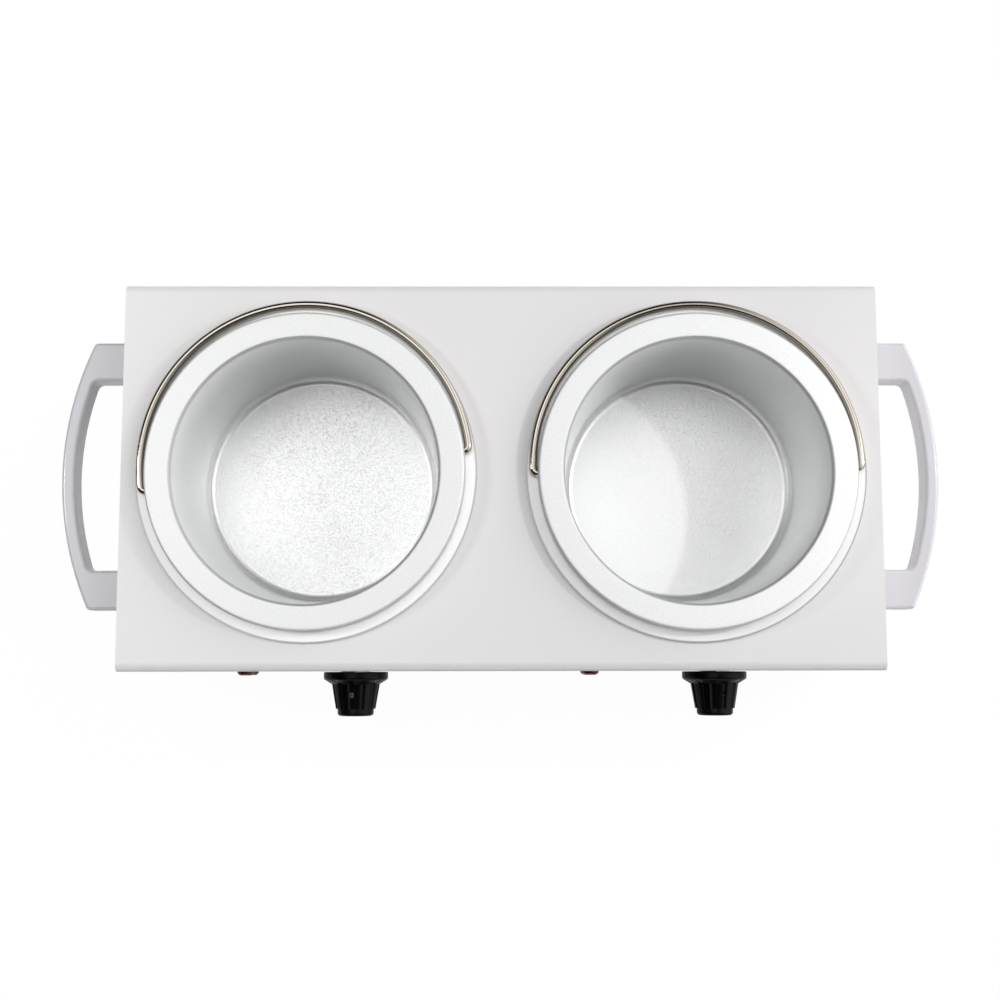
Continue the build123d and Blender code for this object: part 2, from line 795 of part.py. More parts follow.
# Thermostats, shafts and knobs, each knob held on its shaft by a grub screw
for side in sides:
    knob_centre = (knob_x[side], front_y, control_z)
    outward = Plane(origin=knob_centre, x_dir=(1, 0, 0), z_dir=(0, -1, 0))
    knob_section = Plane(origin=knob_centre, x_dir=(1, 0, 0), z_dir=(0, 0, -1))
    knob_axis = Axis(knob_centre, (0, -1, 0))
    turn = math.radians(knob_turn[side])
    turned = Plane(
        origin=knob_centre,
        x_dir=(math.cos(turn), 0, math.sin(turn)),
        z_dir=(0, -1, 0),
    )
    grub_seat = turned.origin + turned.z_dir * grub_reach + turned.y_dir * shaft_flat
    grub_plane = facing(grub_seat, turned.y_dir)

    with BuildPart() as thermostat:
        with BuildSketch(outward.offset(-sheet)):
            RectangleRounded(thermostat_width, thermostat_height, thermostat_corner)
        extrude(amount=-thermostat_depth)
        with BuildSketch(outward.offset(-sheet)):
            Circle(bush_radius)
        extrude(amount=sheet + bush_reach)
        with BuildSketch(outward.offset(bush_reach)):
            Circle(shaft_radius + shaft_fit)
        extrude(amount=-bush_reach - shaft_tail - shaft_end_gap, mode=Mode.SUBTRACT)
        with BuildSketch(Plane.XY.offset(control_z - thermostat_height / 2)):
            with Locations((knob_x[side], front_y + sheet + thermostat_depth / 2)):
                with GridLocations(blade_pitch, 0, 3, 1):
                    Rectangle(blade_thickness, blade_width)
        extrude(amount=-blade_length)
    thermostat.part.label = f"thermostat_{side}"
    export_step(thermostat.part, f"parts/thermostat_{side}.step")

    with BuildPart() as shaft:
        with BuildSketch(turned.offset(-shaft_tail)):
            Circle(shaft_radius)
        extrude(amount=shaft_tail + shaft_reach)
        with BuildSketch(turned.offset(bush_reach)):
            with Locations((0, shaft_flat)):
                Rectangle(2 * shaft_radius, shaft_radius, align=(Align.CENTER, Align.MIN))
        extrude(amount=shaft_reach - bush_reach, mode=Mode.SUBTRACT)
    shaft.part.label = f"thermostat_shaft_{side}"
    export_step(shaft.part, f"parts/thermostat_shaft_{side}.step")

    with BuildPart() as knob:
        with BuildSketch(knob_section):
            with BuildLine():
                FilletPolyline(
                    (0, knob_gap),
                    (skirt_radius, knob_gap),
                    (skirt_radius, skirt_edge),
                    (cap_radius, cap_start),
                    (cap_radius, knob_length),
                    (0, knob_length),
                    radius=[0, skirt_ease, skirt_bend, 0, cap_bend, 0],
                    close=True,
                )
            make_face()
        revolve(axis=knob_axis)
        with BuildSketch(turned.offset(skirt_edge)):
            Circle(grip_radius)
            with PolarLocations(grip_radius + flute_radius - flute_depth, flute_count):
                Circle(flute_radius, mode=Mode.SUBTRACT)
        extrude(amount=grip_end - skirt_edge, taper=grip_taper)
        with BuildSketch(turned.offset(knob_gap)):
            Circle(knob_recess_radius)
        extrude(amount=knob_recess_depth, mode=Mode.SUBTRACT)
        with BuildSketch(turned.offset(knob_gap)):
            Circle(shaft_radius + shaft_fit)
            with Locations((0, shaft_flat + shaft_fit)):
                Rectangle(
                    3 * shaft_radius,
                    shaft_radius,
                    align=(Align.CENTER, Align.MIN),
                    mode=Mode.SUBTRACT,
                )
        extrude(amount=shaft_reach + shaft_end_gap - knob_gap, mode=Mode.SUBTRACT)
        with BuildSketch(grub_plane):
            Circle(m3_radius + hole_play)
        extrude(amount=skirt_radius, mode=Mode.SUBTRACT)
    knob.part.label = f"knob_{side}"
    export_step(knob.part, f"parts/knob_{side}.step")

    with BuildPart() as grub_screw:
        with BuildSketch(grub_plane):
            Circle(m3_radius)
        extrude(amount=grub_length)
        with BuildSketch(grub_plane.offset(grub_length)):
            RegularPolygon(grub_socket / 2, 6, major_radius=False)
        extrude(amount=-grub_socket_depth, mode=Mode.SUBTRACT)
    grub_screw.part.label = f"grub_screw_{side}"
    export_step(grub_screw.part, f"parts/grub_screw_{side}.step")

bush_nut = hex_nut(bush_radius + hole_play, nut_flats_10, nut_height_10)
with BuildPart() as thermostat_nuts:
    for side in sides:
        with Locations(facing((knob_x[side], front_y, control_z), (0, -1, 0))):
            add(bush_nut)
thermostat_nuts.part.label = "thermostat_nuts"
export_step(thermostat_nuts.part, "parts/thermostat_nuts.step")

# Sensors: a bulb held in each heater's split and a capillary to the thermostat
bulb_reach = well_outside + seat_gap + bulb_radius
bulb_base = heater_base - bulb_drop
capillary_z = foot_height + capillary_rise
for side, plane in ear_plane.items():
    bulb_foot = plane.origin + plane.x_dir * bulb_reach + Vector(0, 0, bulb_base)
    tail_x = knob_x[side] - capillary_offset
    tail_y = front_y + sheet + capillary_inset
    with BuildPart() as sensor:
        with BuildSketch(Plane.XY.offset(bulb_base)):
            with Locations((bulb_foot.X, bulb_foot.Y)):
                Circle(bulb_radius)
        extrude(amount=bulb_length)
        with BuildLine() as route:
            FilletPolyline(
                bulb_foot,
                (bulb_foot.X, bulb_foot.Y, capillary_z),
                (tail_x, tail_y, capillary_z),
                (tail_x, tail_y, control_z - thermostat_height / 2),
                radius=capillary_bends,
            )
        with BuildSketch(Plane(origin=bulb_foot, z_dir=(0, 0, -1))):
            Circle(capillary_radius)
        sweep(path=route.wire())
    sensor.part.label = f"sensor_{side}"
    export_step(sensor.part, f"parts/sensor_{side}.step")

# Indicator lamps: a red lens above a green one on each side
for side in sides:
    for colour, row in lamp_rows.items():
        lamp_centre = (lamp_x[side], front_y, row)
        lamp_section = Plane(origin=lamp_centre, x_dir=(1, 0, 0), z_dir=(0, 0, -1))
        with BuildPart() as lens:
            with BuildSketch(lamp_section):
                with BuildLine():
                    Polyline(
                        (0, lens_rise),
                        (0, -lens_stem),
                        (lamp_bore - seat_gap, -lens_stem),
                        (lamp_bore - seat_gap, 0),
                        (lens_radius, 0),
                        (lens_radius, lens_rim),
                    )
                    TangentArc((0, lens_rise), (lens_radius, lens_rim), tangent=(1, 0))
                make_face()
            revolve(axis=Axis(lamp_centre, (0, -1, 0)))
        lens.part.label = f"lamp_{colour}_{side}"
        export_step(lens.part, f"parts/lamp_{colour}_{side}.step")

lamp_places = [(lamp_x[side], row) for side in sides for row in lamp_rows.values()]
with BuildPart() as lamp_bodies:
    with BuildSketch(front):
        with Locations(*lamp_places):
            Circle(lamp_radius)
    extrude(amount=-lamp_depth)
    with BuildSketch(front):
        with Locations(*lamp_places):
            Circle(lamp_bore)
    extrude(amount=-lamp_depth / 2, mode=Mode.SUBTRACT)
    with BuildSketch(front.offset(-lamp_depth)):
        with Locations(*lamp_places):
            with GridLocations(lamp_tab_pitch, 0, 2, 1):
                Rectangle(blade_thickness, lamp_tab_width)
    extrude(amount=-lamp_tab_length)
lamp_bodies.part.label = "lamp_bodies"
export_step(lamp_bodies.part, "parts/lamp_bodies.step")

with BuildPart() as lamp_clips:
    with BuildSketch(front.offset(-sheet)):
        with Locations(*lamp_places):
            Circle(clip_radius)
            Circle(lamp_radius + hole_play, mode=Mode.SUBTRACT)
            with PolarLocations(lamp_radius + clip_slot_length / 2, 4):
                Rectangle(clip_slot_length, clip_slot_width, mode=Mode.SUBTRACT)
    extrude(amount=-clip_thickness)
lamp_clips.part.label = "lamp_clips"
export_step(lamp_clips.part, "parts/lamp_clips.step")

# Power switch on the rear wall: a snap-in housing and its rocker
switch_centre = (-switch_x, rear_z)
rocker_origin = (switch_x, rear_y - rocker_pivot_depth, rear_z)
with BuildPart() as switch_housing:
    with BuildSketch(rear):
        with Locations(switch_centre):
            RectangleRounded(bezel_width, bezel_height, bezel_corner)
    extrude(amount=bezel_rise)
    chamfer(switch_housing.faces().sort_by(Axis.Y)[-1].edges(), bezel_bevel)
    with BuildSketch(rear):
        with Locations(switch_centre):
            Rectangle(switch_width, switch_height)
    extrude(amount=-switch_depth)
    with BuildSketch(rear.offset(bezel_rise)):
        with Locations(switch_centre):
            Rectangle(rocker_slot_width, rocker_slot_height)
    extrude(amount=-bezel_rise - rocker_slot_depth, mode=Mode.SUBTRACT)
    with BuildSketch(Plane(origin=rocker_origin, z_dir=(1, 0, 0))):
        Circle(rocker_pin_radius + shaft_fit)
    extrude(amount=switch_width / 2, both=True, mode=Mode.SUBTRACT)
    with BuildSketch(rear.offset(-switch_depth)):
        with Locations(switch_centre):
            with GridLocations(0, switch_tab_pitch, 1, 2):
                Rectangle(switch_tab_width, blade_thickness)
    extrude(amount=-blade_length)
switch_housing.part.label = "switch_housing"
export_step(switch_housing.part, "parts/switch_housing.step")

half_throw = math.radians(rocker_throw / 2)
rocker_dir = (0, math.sin(half_throw), math.cos(half_throw))
rocker_plane = Plane(origin=rocker_origin, x_dir=rocker_dir, z_dir=(-1, 0, 0))
face_slope = math.tan(half_throw)
rocker_tip = (rocker_half - face_slope * rocker_valley) / (1 + face_slope**2)
rocker_peak = rocker_valley + face_slope * rocker_tip
with BuildPart() as rocker:
    with BuildSketch(rocker_plane) as rocker_profile:
        with BuildLine():
            Polyline(
                (0, rocker_valley),
                (rocker_tip, rocker_peak),
                (rocker_half, 0),
                (rocker_half, -rocker_foot),
                (-rocker_half, -rocker_foot),
                (-rocker_half, 0),
                (-rocker_tip, rocker_peak),
                close=True,
            )
        make_face()
        fillet(rocker_profile.vertices().group_by(Axis.Y)[-1], rocker_edge)
    extrude(amount=rocker_width / 2, both=True)
    with BuildSketch(rocker_plane):
        Circle(rocker_pin_radius)
    extrude(amount=rocker_width / 2 + rocker_pin_length, both=True)
rocker.part.label = "switch_rocker"
export_step(rocker.part, "parts/switch_rocker.step")

# Mains inlet on the rear wall, with two line pins and an earth pin
inlet_centre = (-inlet_x, rear_z)
pin_places = [(0, pin_offset), (-pin_spread, -pin_offset), (pin_spread, -pin_offset)]
with BuildPart() as inlet_housing:
    with BuildSketch(rear):
        with Locations(inlet_centre):
            RectangleRounded(inlet_flange_width, inlet_flange_height, inlet_corner)
            with GridLocations(inlet_screw_pitch, 0, 2, 1):
                Circle(m3_radius + hole_play, mode=Mode.SUBTRACT)
    extrude(amount=inlet_flange)
    with BuildSketch(rear):
        with Locations(inlet_centre):
            Rectangle(inlet_width, inlet_height)
    extrude(amount=-inlet_depth)
    with BuildSketch(rear.offset(inlet_flange)) as socket:
        with Locations(inlet_centre):
            Rectangle(socket_width, socket_height)
        chamfer(socket.vertices().group_by(Axis.Y)[-1], socket_bevel)
    extrude(amount=-socket_depth, mode=Mode.SUBTRACT)
    with BuildSketch(rear.offset(inlet_flange - socket_depth)):
        with Locations(inlet_centre):
            with Locations(*pin_places):
                Rectangle(pin_thickness, pin_width)
    extrude(amount=-inlet_depth, mode=Mode.SUBTRACT)
inlet_housing.part.label = "inlet_housing"
export_step(inlet_housing.part, "parts/inlet_housing.step")

with BuildPart() as inlet_pins:
    with BuildSketch(rear.offset(-inlet_depth - tag_length)):
        with Locations(inlet_centre):
            with Locations(*pin_places):
                Rectangle(pin_thickness, pin_width)
    extrude(amount=inlet_flange - socket_depth + pin_length + inlet_depth + tag_length)
    chamfer(inlet_pins.faces().filter_by(Axis.Y).group_by(Axis.Y)[-1].edges(), pin_bevel)
inlet_pins.part.label = "inlet_pins"
export_step(inlet_pins.part, "parts/inlet_pins.step")

inlet_screw_length = inlet_flange + sheet + nut_height_3 + screw_end
inlet_screw = pan_screw(m3_radius, inlet_screw_length, m3_head)
inlet_screw_xs = [inlet_x - inlet_screw_pitch / 2, inlet_x + inlet_screw_pitch / 2]
with BuildPart() as inlet_screws:
    for x in inlet_screw_xs:
        with Locations(facing((x, rear_y + inlet_flange, rear_z), (0, 1, 0))):
            add(inlet_screw)
inlet_screws.part.label = "inlet_screws"
export_step(inlet_screws.part, "parts/inlet_screws.step")

inlet_nut = hex_nut(m3_radius + hole_play, nut_flats_3, nut_height_3)
with BuildPart() as inlet_nuts:
    for x in inlet_screw_xs:
        with Locations(facing((x, rear_y - sheet, rear_z), (0, -1, 0))):
            add(inlet_nut)
inlet_nuts.part.label = "inlet_nuts"
export_step(inlet_nuts.part, "parts/inlet_nuts.step")

# Terminal block on the base plate, between the wells
block_top = base_top + block_height
block_seat = block_top - block_step_depth
wire_plane = Plane(
    origin=(*block_place, base_top + wire_bore_rise), x_dir=(0, 1, 0), z_dir=(1, 0, 0)
)
with BuildPart() as terminal_block:
    with BuildSketch(Plane.XY.offset(base_top)):
        with Locations(block_place):
            Rectangle(block_width, block_length)
            with GridLocations(0, block_screw_pitch, 1, 2):
                Circle(m3_radius + hole_play, mode=Mode.SUBTRACT)
    extrude(amount=block_height)
    with BuildSketch(Plane.XY.offset(block_top)):
        with Locations(block_place):
            with GridLocations(0, block_screw_pitch, 1, 2):
                Rectangle(block_width, block_step_length)
    extrude(amount=-block_step_depth, mode=Mode.SUBTRACT)
    with BuildSketch(wire_plane):
        with GridLocations(wire_bore_pitch, 0, 3, 1):
            Circle(wire_bore_radius)
    extrude(amount=block_width / 2, both=True, mode=Mode.SUBTRACT)
    with BuildSketch(Plane.XY.offset(block_top)):
        with Locations(block_place):
            with GridLocations(clamp_bore_pitch, wire_bore_pitch, 2, 3):
                Circle(clamp_bore_radius)
    extrude(amount=wire_bore_rise - block_height, mode=Mode.SUBTRACT)
terminal_block.part.label = "terminal_block"
export_step(terminal_block.part, "parts/terminal_block.step")

block_screw_length = block_seat - foot_height + screw_end
block_screw = pan_screw(m3_radius, block_screw_length, m3_head)
with BuildPart() as block_screws:
    with Locations((*block_place, block_seat)):
        with GridLocations(0, block_screw_pitch, 1, 2):
            add(block_screw)
block_screws.part.label = "block_screws"
export_step(block_screws.part, "parts/block_screws.step")

# Earth stud on the base plate with its nut
earth_screw = pan_screw(m4_radius, earth_stud_length, m4_head)
with BuildPart() as earth_stud:
    with Locations(facing((*earth_place, foot_height), down)):
        add(earth_screw)
earth_stud.part.label = "earth_stud"
export_step(earth_stud.part, "parts/earth_stud.step")

with BuildPart() as earth_nut:
    with Locations((*earth_place, base_top)):
        add(foot_nut)
earth_nut.part.label = "earth_nut"
export_step(earth_nut.part, "parts/earth_nut.step")
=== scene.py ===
# %% [markdown]
# # A double wax warmer, dressed for a studio photograph
#
# The warmer is a low steel box with two aluminium pots hanging in it. Its shape comes from a
# finished engineering model, which is loaded first and stays where it is. This lesson adds the
# camera, the light, the finishes, and finer versions of the pieces that a customer looks at and
# touches: pots, bails, handles, knobs, lamps and the switch. All lengths are in metres, +Z is up,
# and the knobs face -Y.

import json
import math

import bpy
from mathutils import Matrix, Vector


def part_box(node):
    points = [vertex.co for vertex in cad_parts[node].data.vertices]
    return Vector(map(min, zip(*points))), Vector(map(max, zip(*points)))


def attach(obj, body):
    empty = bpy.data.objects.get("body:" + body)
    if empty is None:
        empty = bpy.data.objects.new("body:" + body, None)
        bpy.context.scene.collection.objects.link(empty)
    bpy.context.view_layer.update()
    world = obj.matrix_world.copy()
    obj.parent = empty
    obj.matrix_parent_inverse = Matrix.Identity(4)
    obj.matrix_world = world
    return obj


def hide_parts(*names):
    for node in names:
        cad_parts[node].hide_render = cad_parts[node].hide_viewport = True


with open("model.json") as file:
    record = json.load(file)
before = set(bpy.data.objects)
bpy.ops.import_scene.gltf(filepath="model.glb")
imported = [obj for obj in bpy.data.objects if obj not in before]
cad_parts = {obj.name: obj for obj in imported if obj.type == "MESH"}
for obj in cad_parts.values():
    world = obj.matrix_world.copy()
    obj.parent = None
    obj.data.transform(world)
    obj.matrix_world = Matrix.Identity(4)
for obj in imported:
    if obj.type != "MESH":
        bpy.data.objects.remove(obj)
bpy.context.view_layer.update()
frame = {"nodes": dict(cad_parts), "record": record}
nodes = frame["nodes"]
for plain in list(bpy.data.materials):
    bpy.data.materials.remove(plain)

# %% [markdown]
# ## Where the main forms are
#
# Every piece made below sits on a node of the engineering model, so its place is read from that
# node's box and not typed again. Only what a box can't tell is written as a number: the radius of a
# mouth or of a bend, the thickness of a sheet, the angle that a pot stands turned in its well.

# %% Measure the model
MM = 0.001
sides = ("left", "right")
pot_mouth = 63.5 * MM
pot_sheet = 1.5 * MM

cover_low, cover_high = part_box("cover")
plate_z = cover_high.z
casing_y = (cover_low.y + cover_high.y) / 2
front_wall = cover_low.y
rear_wall = cover_high.y


def middle_of(node):
    """The middle of a node's box, as three numbers."""
    low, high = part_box(node)
    return tuple((low[axis] + high[axis]) / 2 for axis in range(3))


pots = {}
for side in sides:
    low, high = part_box(f"pot_{side}")
    x, y, z = middle_of(f"pot_{side}")
    pots[side] = {
        "x": x,
        "y": y,
        "rim": (high.x - low.x) / 2,
        "top": high.z,
        "floor": low.z + pot_sheet,
    }
    print(side, "pot:", {key: round(1000 * value, 2) for key, value in pots[side].items()})

# %% [markdown]
# ## The camera
#
# The photograph looks down into the pots from above the front edge, close enough that the outer
# walls of the casing spread a little towards the viewer. The lens and the height were worked out
# from the casing's corners and the pots' rims, so the camera is placed by numbers.

# %% Place the camera
camera_data = bpy.data.cameras.new("camera")
camera_data.sensor_width = 36
camera_data.lens = 49.68
camera_data.clip_start = 0.01
camera_data.clip_end = 20
camera = bpy.data.objects.new("camera", camera_data)
camera.location = (-5.5 * MM, casing_y - 87.5 * MM, plate_z + 656.3 * MM)
camera.rotation_euler = (math.radians(6.548), math.radians(-0.4), math.radians(-0.1))
bpy.context.collection.objects.link(camera)
bpy.context.scene.camera = camera
print("camera height in mm:", round(1000 * camera.location.z))

# %% [markdown]
# ## Arithmetic for shaders
#
# A finish is easier to read as a formula than as a drawing of wires. The first class below wraps
# one output of a shader node, and adding or multiplying such outputs adds the Math node that does
# it. The second adds any other node: the kind first, then its settings, then what goes into its
# sockets. It serves the materials here and the world at the end.

# %% Numbers and nodes
class Number:
    """A number that varies over a surface, with ordinary arithmetic."""

    def __init__(self, nodes, socket):
        self.nodes = nodes
        self.socket = socket

    def math(self, operation, *others):
        inputs = {0: self}
        inputs.update({place + 1: other for place, other in enumerate(others)})
        return self.nodes.node("ShaderNodeMath", {"operation": operation}, inputs)

    def __add__(self, other):
        return self.math("ADD", other)

    def __radd__(self, other):
        return self.math("ADD", other)

    def __sub__(self, other):
        return self.math("SUBTRACT", other)

    def __rsub__(self, other):
        return (self * -1) + other

    def __mul__(self, other):
        return self.math("MULTIPLY", other)

    def __rmul__(self, other):
        return self.math("MULTIPLY", other)

    def above(self, low, high):
        """0 below low, 1 above high, straight between them."""
        return self.nodes.node(
            "ShaderNodeMapRange", {}, {"Value": self, "From Min": low, "From Max": high}
        )


class Nodes:
    """One node tree, and the method that adds to it."""

    def __init__(self, tree):
        self.tree = tree

    def node(self, kind, settings, inputs, output=0):
        made = self.tree.nodes.new(kind)
        for name, value in settings.items():
            setattr(made, name, value)
        for place, value in inputs.items():
            if isinstance(value, Number):
                self.tree.links.new(value.socket, made.inputs[place])
            else:
                made.inputs[place].default_value = value
        return Number(self, made.outputs[output])


# %% [markdown]
# A finish is a node tree with a principled shader. Its patterns read the place on the object in
# metres, so a noise of scale 1000 has grains of about a millimetre. Keyword arguments set sockets
# that are the same all over, such as Coat_Weight, and `set` feeds a socket with what varies.

# %% One finish
class Finish(Nodes):
    """One material. Its principled shader is ready, and patterns are added to it."""

    def __init__(self, name, colour, roughness, **fixed):
        self.material = bpy.data.materials.new(name)
        self.material.use_nodes = True
        self.material.diffuse_color = (*colour, 1)
        super().__init__(self.material.node_tree)
        self.shader = self.tree.nodes["Principled BSDF"]
        self.shader.inputs["Base Color"].default_value = (*colour, 1)
        self.shader.inputs["Roughness"].default_value = roughness
        for socket, value in fixed.items():
            self.shader.inputs[socket.replace("_", " ")].default_value = value
        self.colour = colour
        self.places = self.node("ShaderNodeTexCoord", {}, {}, "Object")

    def noise(self, scale, detail):
        return self.node(
            "ShaderNodeTexNoise", {}, {"Vector": self.places, "Scale": scale, "Detail": detail}
        )

    def blend(self, amount, first, second):
        """A colour between two colours, by an amount that varies."""
        return self.node(
            "ShaderNodeMix", {"data_type": "RGBA"}, {0: amount, 6: first, 7: second}, 2
        )

    def tone(self, factor):
        """The base colour, darker or lighter."""
        return (*(min(1.0, channel * factor) for channel in self.colour), 1)

    def part(self, axis):
        """One coordinate of the place: X, Y or Z."""
        return self.node("ShaderNodeSeparateXYZ", {}, {"Vector": self.places}, axis)

    def from_axis(self):
        """The distance from the upright axis of the nearer pot."""
        across = self.part("X").math("ABSOLUTE") - pots["right"]["x"]
        along = self.part("Y") - pots["right"]["y"]
        return (across * across + along * along).math("SQRT")

    def set(self, socket, value):
        self.tree.links.new(value.socket, self.shader.inputs[socket])

    def bump(self, height, distance):
        raised = {"Strength": 1.0, "Distance": distance, "Height": height}
        self.set("Normal", self.node("ShaderNodeBump", {}, raised))


# %% [markdown]
# ## Painted steel
#
# The casing is sheet steel under a pale grey powder coat. Up close such a coat is never flat: it
# flows into a soft ripple like orange peel, a few millimetres across and a few hundredths deep,
# and its gloss changes a little from place to place. Both come from noise, the ripple as a bump
# and the gloss as roughness. The wells are enamelled white, for heat, and a fine grey line of
# painted shade runs round the cut edge of their flanges, where the edge and its shadow read dark.

# %% Paint
def powder_coat(name, colour, roughness, ripple, **coat):
    paint = Finish(name, colour, roughness, Coat_Roughness=0.18, **coat)
    cloud = paint.noise(9.0, 3.0)
    speck = paint.noise(1400.0, 1.0)
    paint.set("Base Color", paint.blend(cloud, paint.tone(0.985), paint.tone(1.01)))
    paint.set("Roughness", roughness - 0.04 + 0.08 * cloud + 0.03 * speck)
    paint.bump(paint.noise(330.0, 1.5) + 0.12 * speck, ripple)
    return paint


cover_paint = powder_coat(
    "cover_paint", (0.800, 0.788, 0.788), 0.34, 0.05 * MM, Coat_Weight=0.25
)
well_enamel = powder_coat(
    "well_enamel", (0.95, 0.95, 0.94), 0.26, 0.04 * MM, Coat_Weight=1.0, Coat_IOR=1.8
)
well_low, well_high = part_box("well_right")
flange = (well_high.x - well_low.x) / 2
# Painted shade: a fine grey line in the base colour round the flange's outer edge.
edge_shade_grey = (0.36, 0.36, 0.35, 1)
flange_edge_shade = well_enamel.from_axis().above(flange - 0.9 * MM, flange - 0.3 * MM)
well_enamel.set("Base Color", well_enamel.blend(flange_edge_shade, well_enamel.tone(1.0), edge_shade_grey))
print("paints:", cover_paint.material.name, well_enamel.material.name)
print("flange radius in mm:", round(1000 * flange, 2))

# %% [markdown]
# ## Bare and plated metal
#
# The pots are pressed aluminium with a fine matt bloom, which glitters in tiny grains because each
# one tilts its own way. That is a bump of very fine noise over a soft, even roughness. The mouth's
# bend, the rim's edge and the bend at the floor are painted darker in the base colour, as painted
# shade: rings, found by their height and their distance from the pot's axis, a little smoother too.
# The floor is painted darker and the wall and the rim lighter, as painted shade and light, and
# towards the rim the metal is also rougher and less like metal. The bails are bright nickel wire,
# drawn through a die, so they are smooth with the faintest waviness.

# %% Aluminium and nickel
def bloom_aluminium(name):
    metal = Finish(name, (0.90, 0.905, 0.905), 0.42, Metallic=0.8)
    grain = metal.noise(1900.0, 2.0)
    cloud = metal.noise(28.0, 3.0)
    fleck = metal.noise(1100.0, 1.0).above(0.48, 0.68)
    rim, floor, top = (pots["right"][key] for key in ("rim", "floor", "top"))
    out = metal.from_axis()
    height = metal.part("Z")
    # Painted shade: darker rings in the base colour at the mouth's bend, the rim's edge and the
    # floor's bend.
    inside_mouth = 1 - out.above(pot_mouth + 0.8 * MM, pot_mouth + 1.4 * MM)
    mouth_shade_ring = out.above(pot_mouth - 0.2 * MM, pot_mouth + 0.1 * MM) * inside_mouth
    rim_edge_shade = out.above(rim - 1.3 * MM, rim - 0.5 * MM)
    below_wall = 1 - height.above(floor + 0.8 * MM, floor + 3.5 * MM)
    floor_bend_shade = height.above(floor, floor + 0.6 * MM) * below_wall
    shaded_bends = (0.85 * mouth_shade_ring + 0.65 * rim_edge_shade + 0.35 * floor_bend_shade).math("MINIMUM", 1.0)
    # Painted shade and light: by height, the floor's base colour is darker and the wall's and rim's
    # lighter.
    wall = height.above(floor + 4 * MM, floor + 9 * MM)
    rim_matt_and_lit = height.above(top - 28 * MM, top)
    light = (0.3 * fleck + 0.25 * cloud + 0.35 * wall + 0.12 * rim_matt_and_lit).math("MINIMUM", 1.0)
    # The base colour mixes the real grain and cloud with this painted shade and light.
    grain_and_painted_light = metal.blend(light, metal.tone(0.88), metal.tone(1.06))
    metal.set("Base Color", metal.blend(shaded_bends, grain_and_painted_light, metal.tone(0.4)))
    metal.set("Roughness", 0.36 + 0.1 * cloud + 0.12 * fleck + 0.14 * rim_matt_and_lit - 0.12 * shaded_bends)
    metal.set("Metallic", 0.8 - 0.5 * rim_matt_and_lit)
    metal.bump(grain + 0.6 * fleck, 0.035 * MM)
    return metal.material


def nickel_wire(name):
    metal = Finish(name, (0.44, 0.405, 0.355), 0.12, Metallic=1.0)
    cloud = metal.noise(140.0, 3.0)
    metal.set("Roughness", 0.09 + 0.12 * cloud)
    metal.set("Base Color", metal.blend(cloud, metal.tone(0.92), metal.tone(1.06)))
    metal.bump(metal.noise(420.0, 2.0), 0.012 * MM)
    return metal.material


pot_aluminium = bloom_aluminium("pot_aluminium")
bail_wire = nickel_wire("bail_wire")
print("nodes in the aluminium:", len(pot_aluminium.node_tree.nodes))

# %% [markdown]
# Zinc plating on small screws shines with a trace of blue and straw yellow, and a galvanised
# sheet shows large crystals, which a Voronoi pattern gives: each cell has its own grey.

# %% Zinc
def zinc_plate(name):
    metal = Finish(name, (0.62, 0.62, 0.60), 0.34, Metallic=1.0)
    cloud = metal.noise(160.0, 3.0)
    metal.set("Base Color", metal.blend(cloud, (0.60, 0.61, 0.63, 1), (0.68, 0.65, 0.56, 1)))
    metal.set("Roughness", 0.25 + 0.2 * cloud)
    metal.bump(metal.noise(1500.0, 2.0), 0.01 * MM)
    return metal.material


def galvanised_sheet(name):
    metal = Finish(name, (0.58, 0.59, 0.60), 0.4, Metallic=0.9)
    crystal = metal.node(
        "ShaderNodeTexVoronoi", {}, {"Vector": metal.places, "Scale": 110.0}, "Color"
    )
    shade = metal.node("ShaderNodeSeparateColor", {}, {"Color": crystal}, "Red")
    metal.set("Base Color", metal.blend(shade, metal.tone(0.82), metal.tone(1.12)))
    metal.set("Roughness", 0.3 + 0.22 * shade)
    metal.bump(metal.noise(700.0, 2.0), 0.012 * MM)
    return metal.material


zinc_steel = zinc_plate("zinc_steel")
galvanised_base = galvanised_sheet("galvanised_base")
print("zinc:", zinc_steel.name, galvanised_base.name)

# %% [markdown]
# The hidden metals differ by their history. The heater bands are stainless steel that has been
# hot, so straw and violet clouds lie on it. The sensors are drawn copper and the inlet's pins are
# nickelled brass.

# %% Heater steel, copper and brass
def tinted_metal(name, colour, second, roughness, size):
    metal = Finish(name, colour, roughness, Metallic=1.0)
    cloud = metal.noise(size, 4.0)
    metal.set("Base Color", metal.blend(cloud.above(0.35, 0.65), (*colour, 1), (*second, 1)))
    metal.set("Roughness", roughness - 0.06 + 0.14 * cloud)
    metal.bump(metal.noise(1100.0, 2.0), 0.012 * MM)
    return metal.material


heater_steel = tinted_metal("heater_steel", (0.52, 0.49, 0.45), (0.44, 0.36, 0.28), 0.38, 45.0)
copper = tinted_metal("copper", (0.72, 0.42, 0.28), (0.55, 0.30, 0.20), 0.3, 90.0)
pin_brass = tinted_metal("pin_brass", (0.78, 0.70, 0.50), (0.70, 0.66, 0.55), 0.22, 120.0)
print("hidden metals:", heater_steel.name, copper.name, pin_brass.name)

# %% [markdown]
# ## Plastics, rubber and ceramic
#
# Moulded plastic takes its gloss from the polished mould. A shallow, wide ripple shows where it
# shrank, and handling leaves the gloss uneven. The handles are a light grey with a breath of
# violet, and the knobs and the rear fittings are black. The black of the knobs reflects little, so
# their flutes stay dark in a white room.

# %% Plastics
def moulded(name, colour, roughness, grain, **fixed):
    plastic = Finish(name, colour, roughness, **fixed)
    cloud = plastic.noise(35.0, 3.0)
    fine = plastic.noise(grain, 2.0)
    plastic.set("Base Color", plastic.blend(cloud, plastic.tone(0.97), plastic.tone(1.03)))
    plastic.set("Roughness", roughness - 0.04 + 0.06 * cloud + 0.04 * fine)
    plastic.bump(plastic.noise(60.0, 1.0) + 0.1 * fine, 0.06 * MM)
    return plastic.material


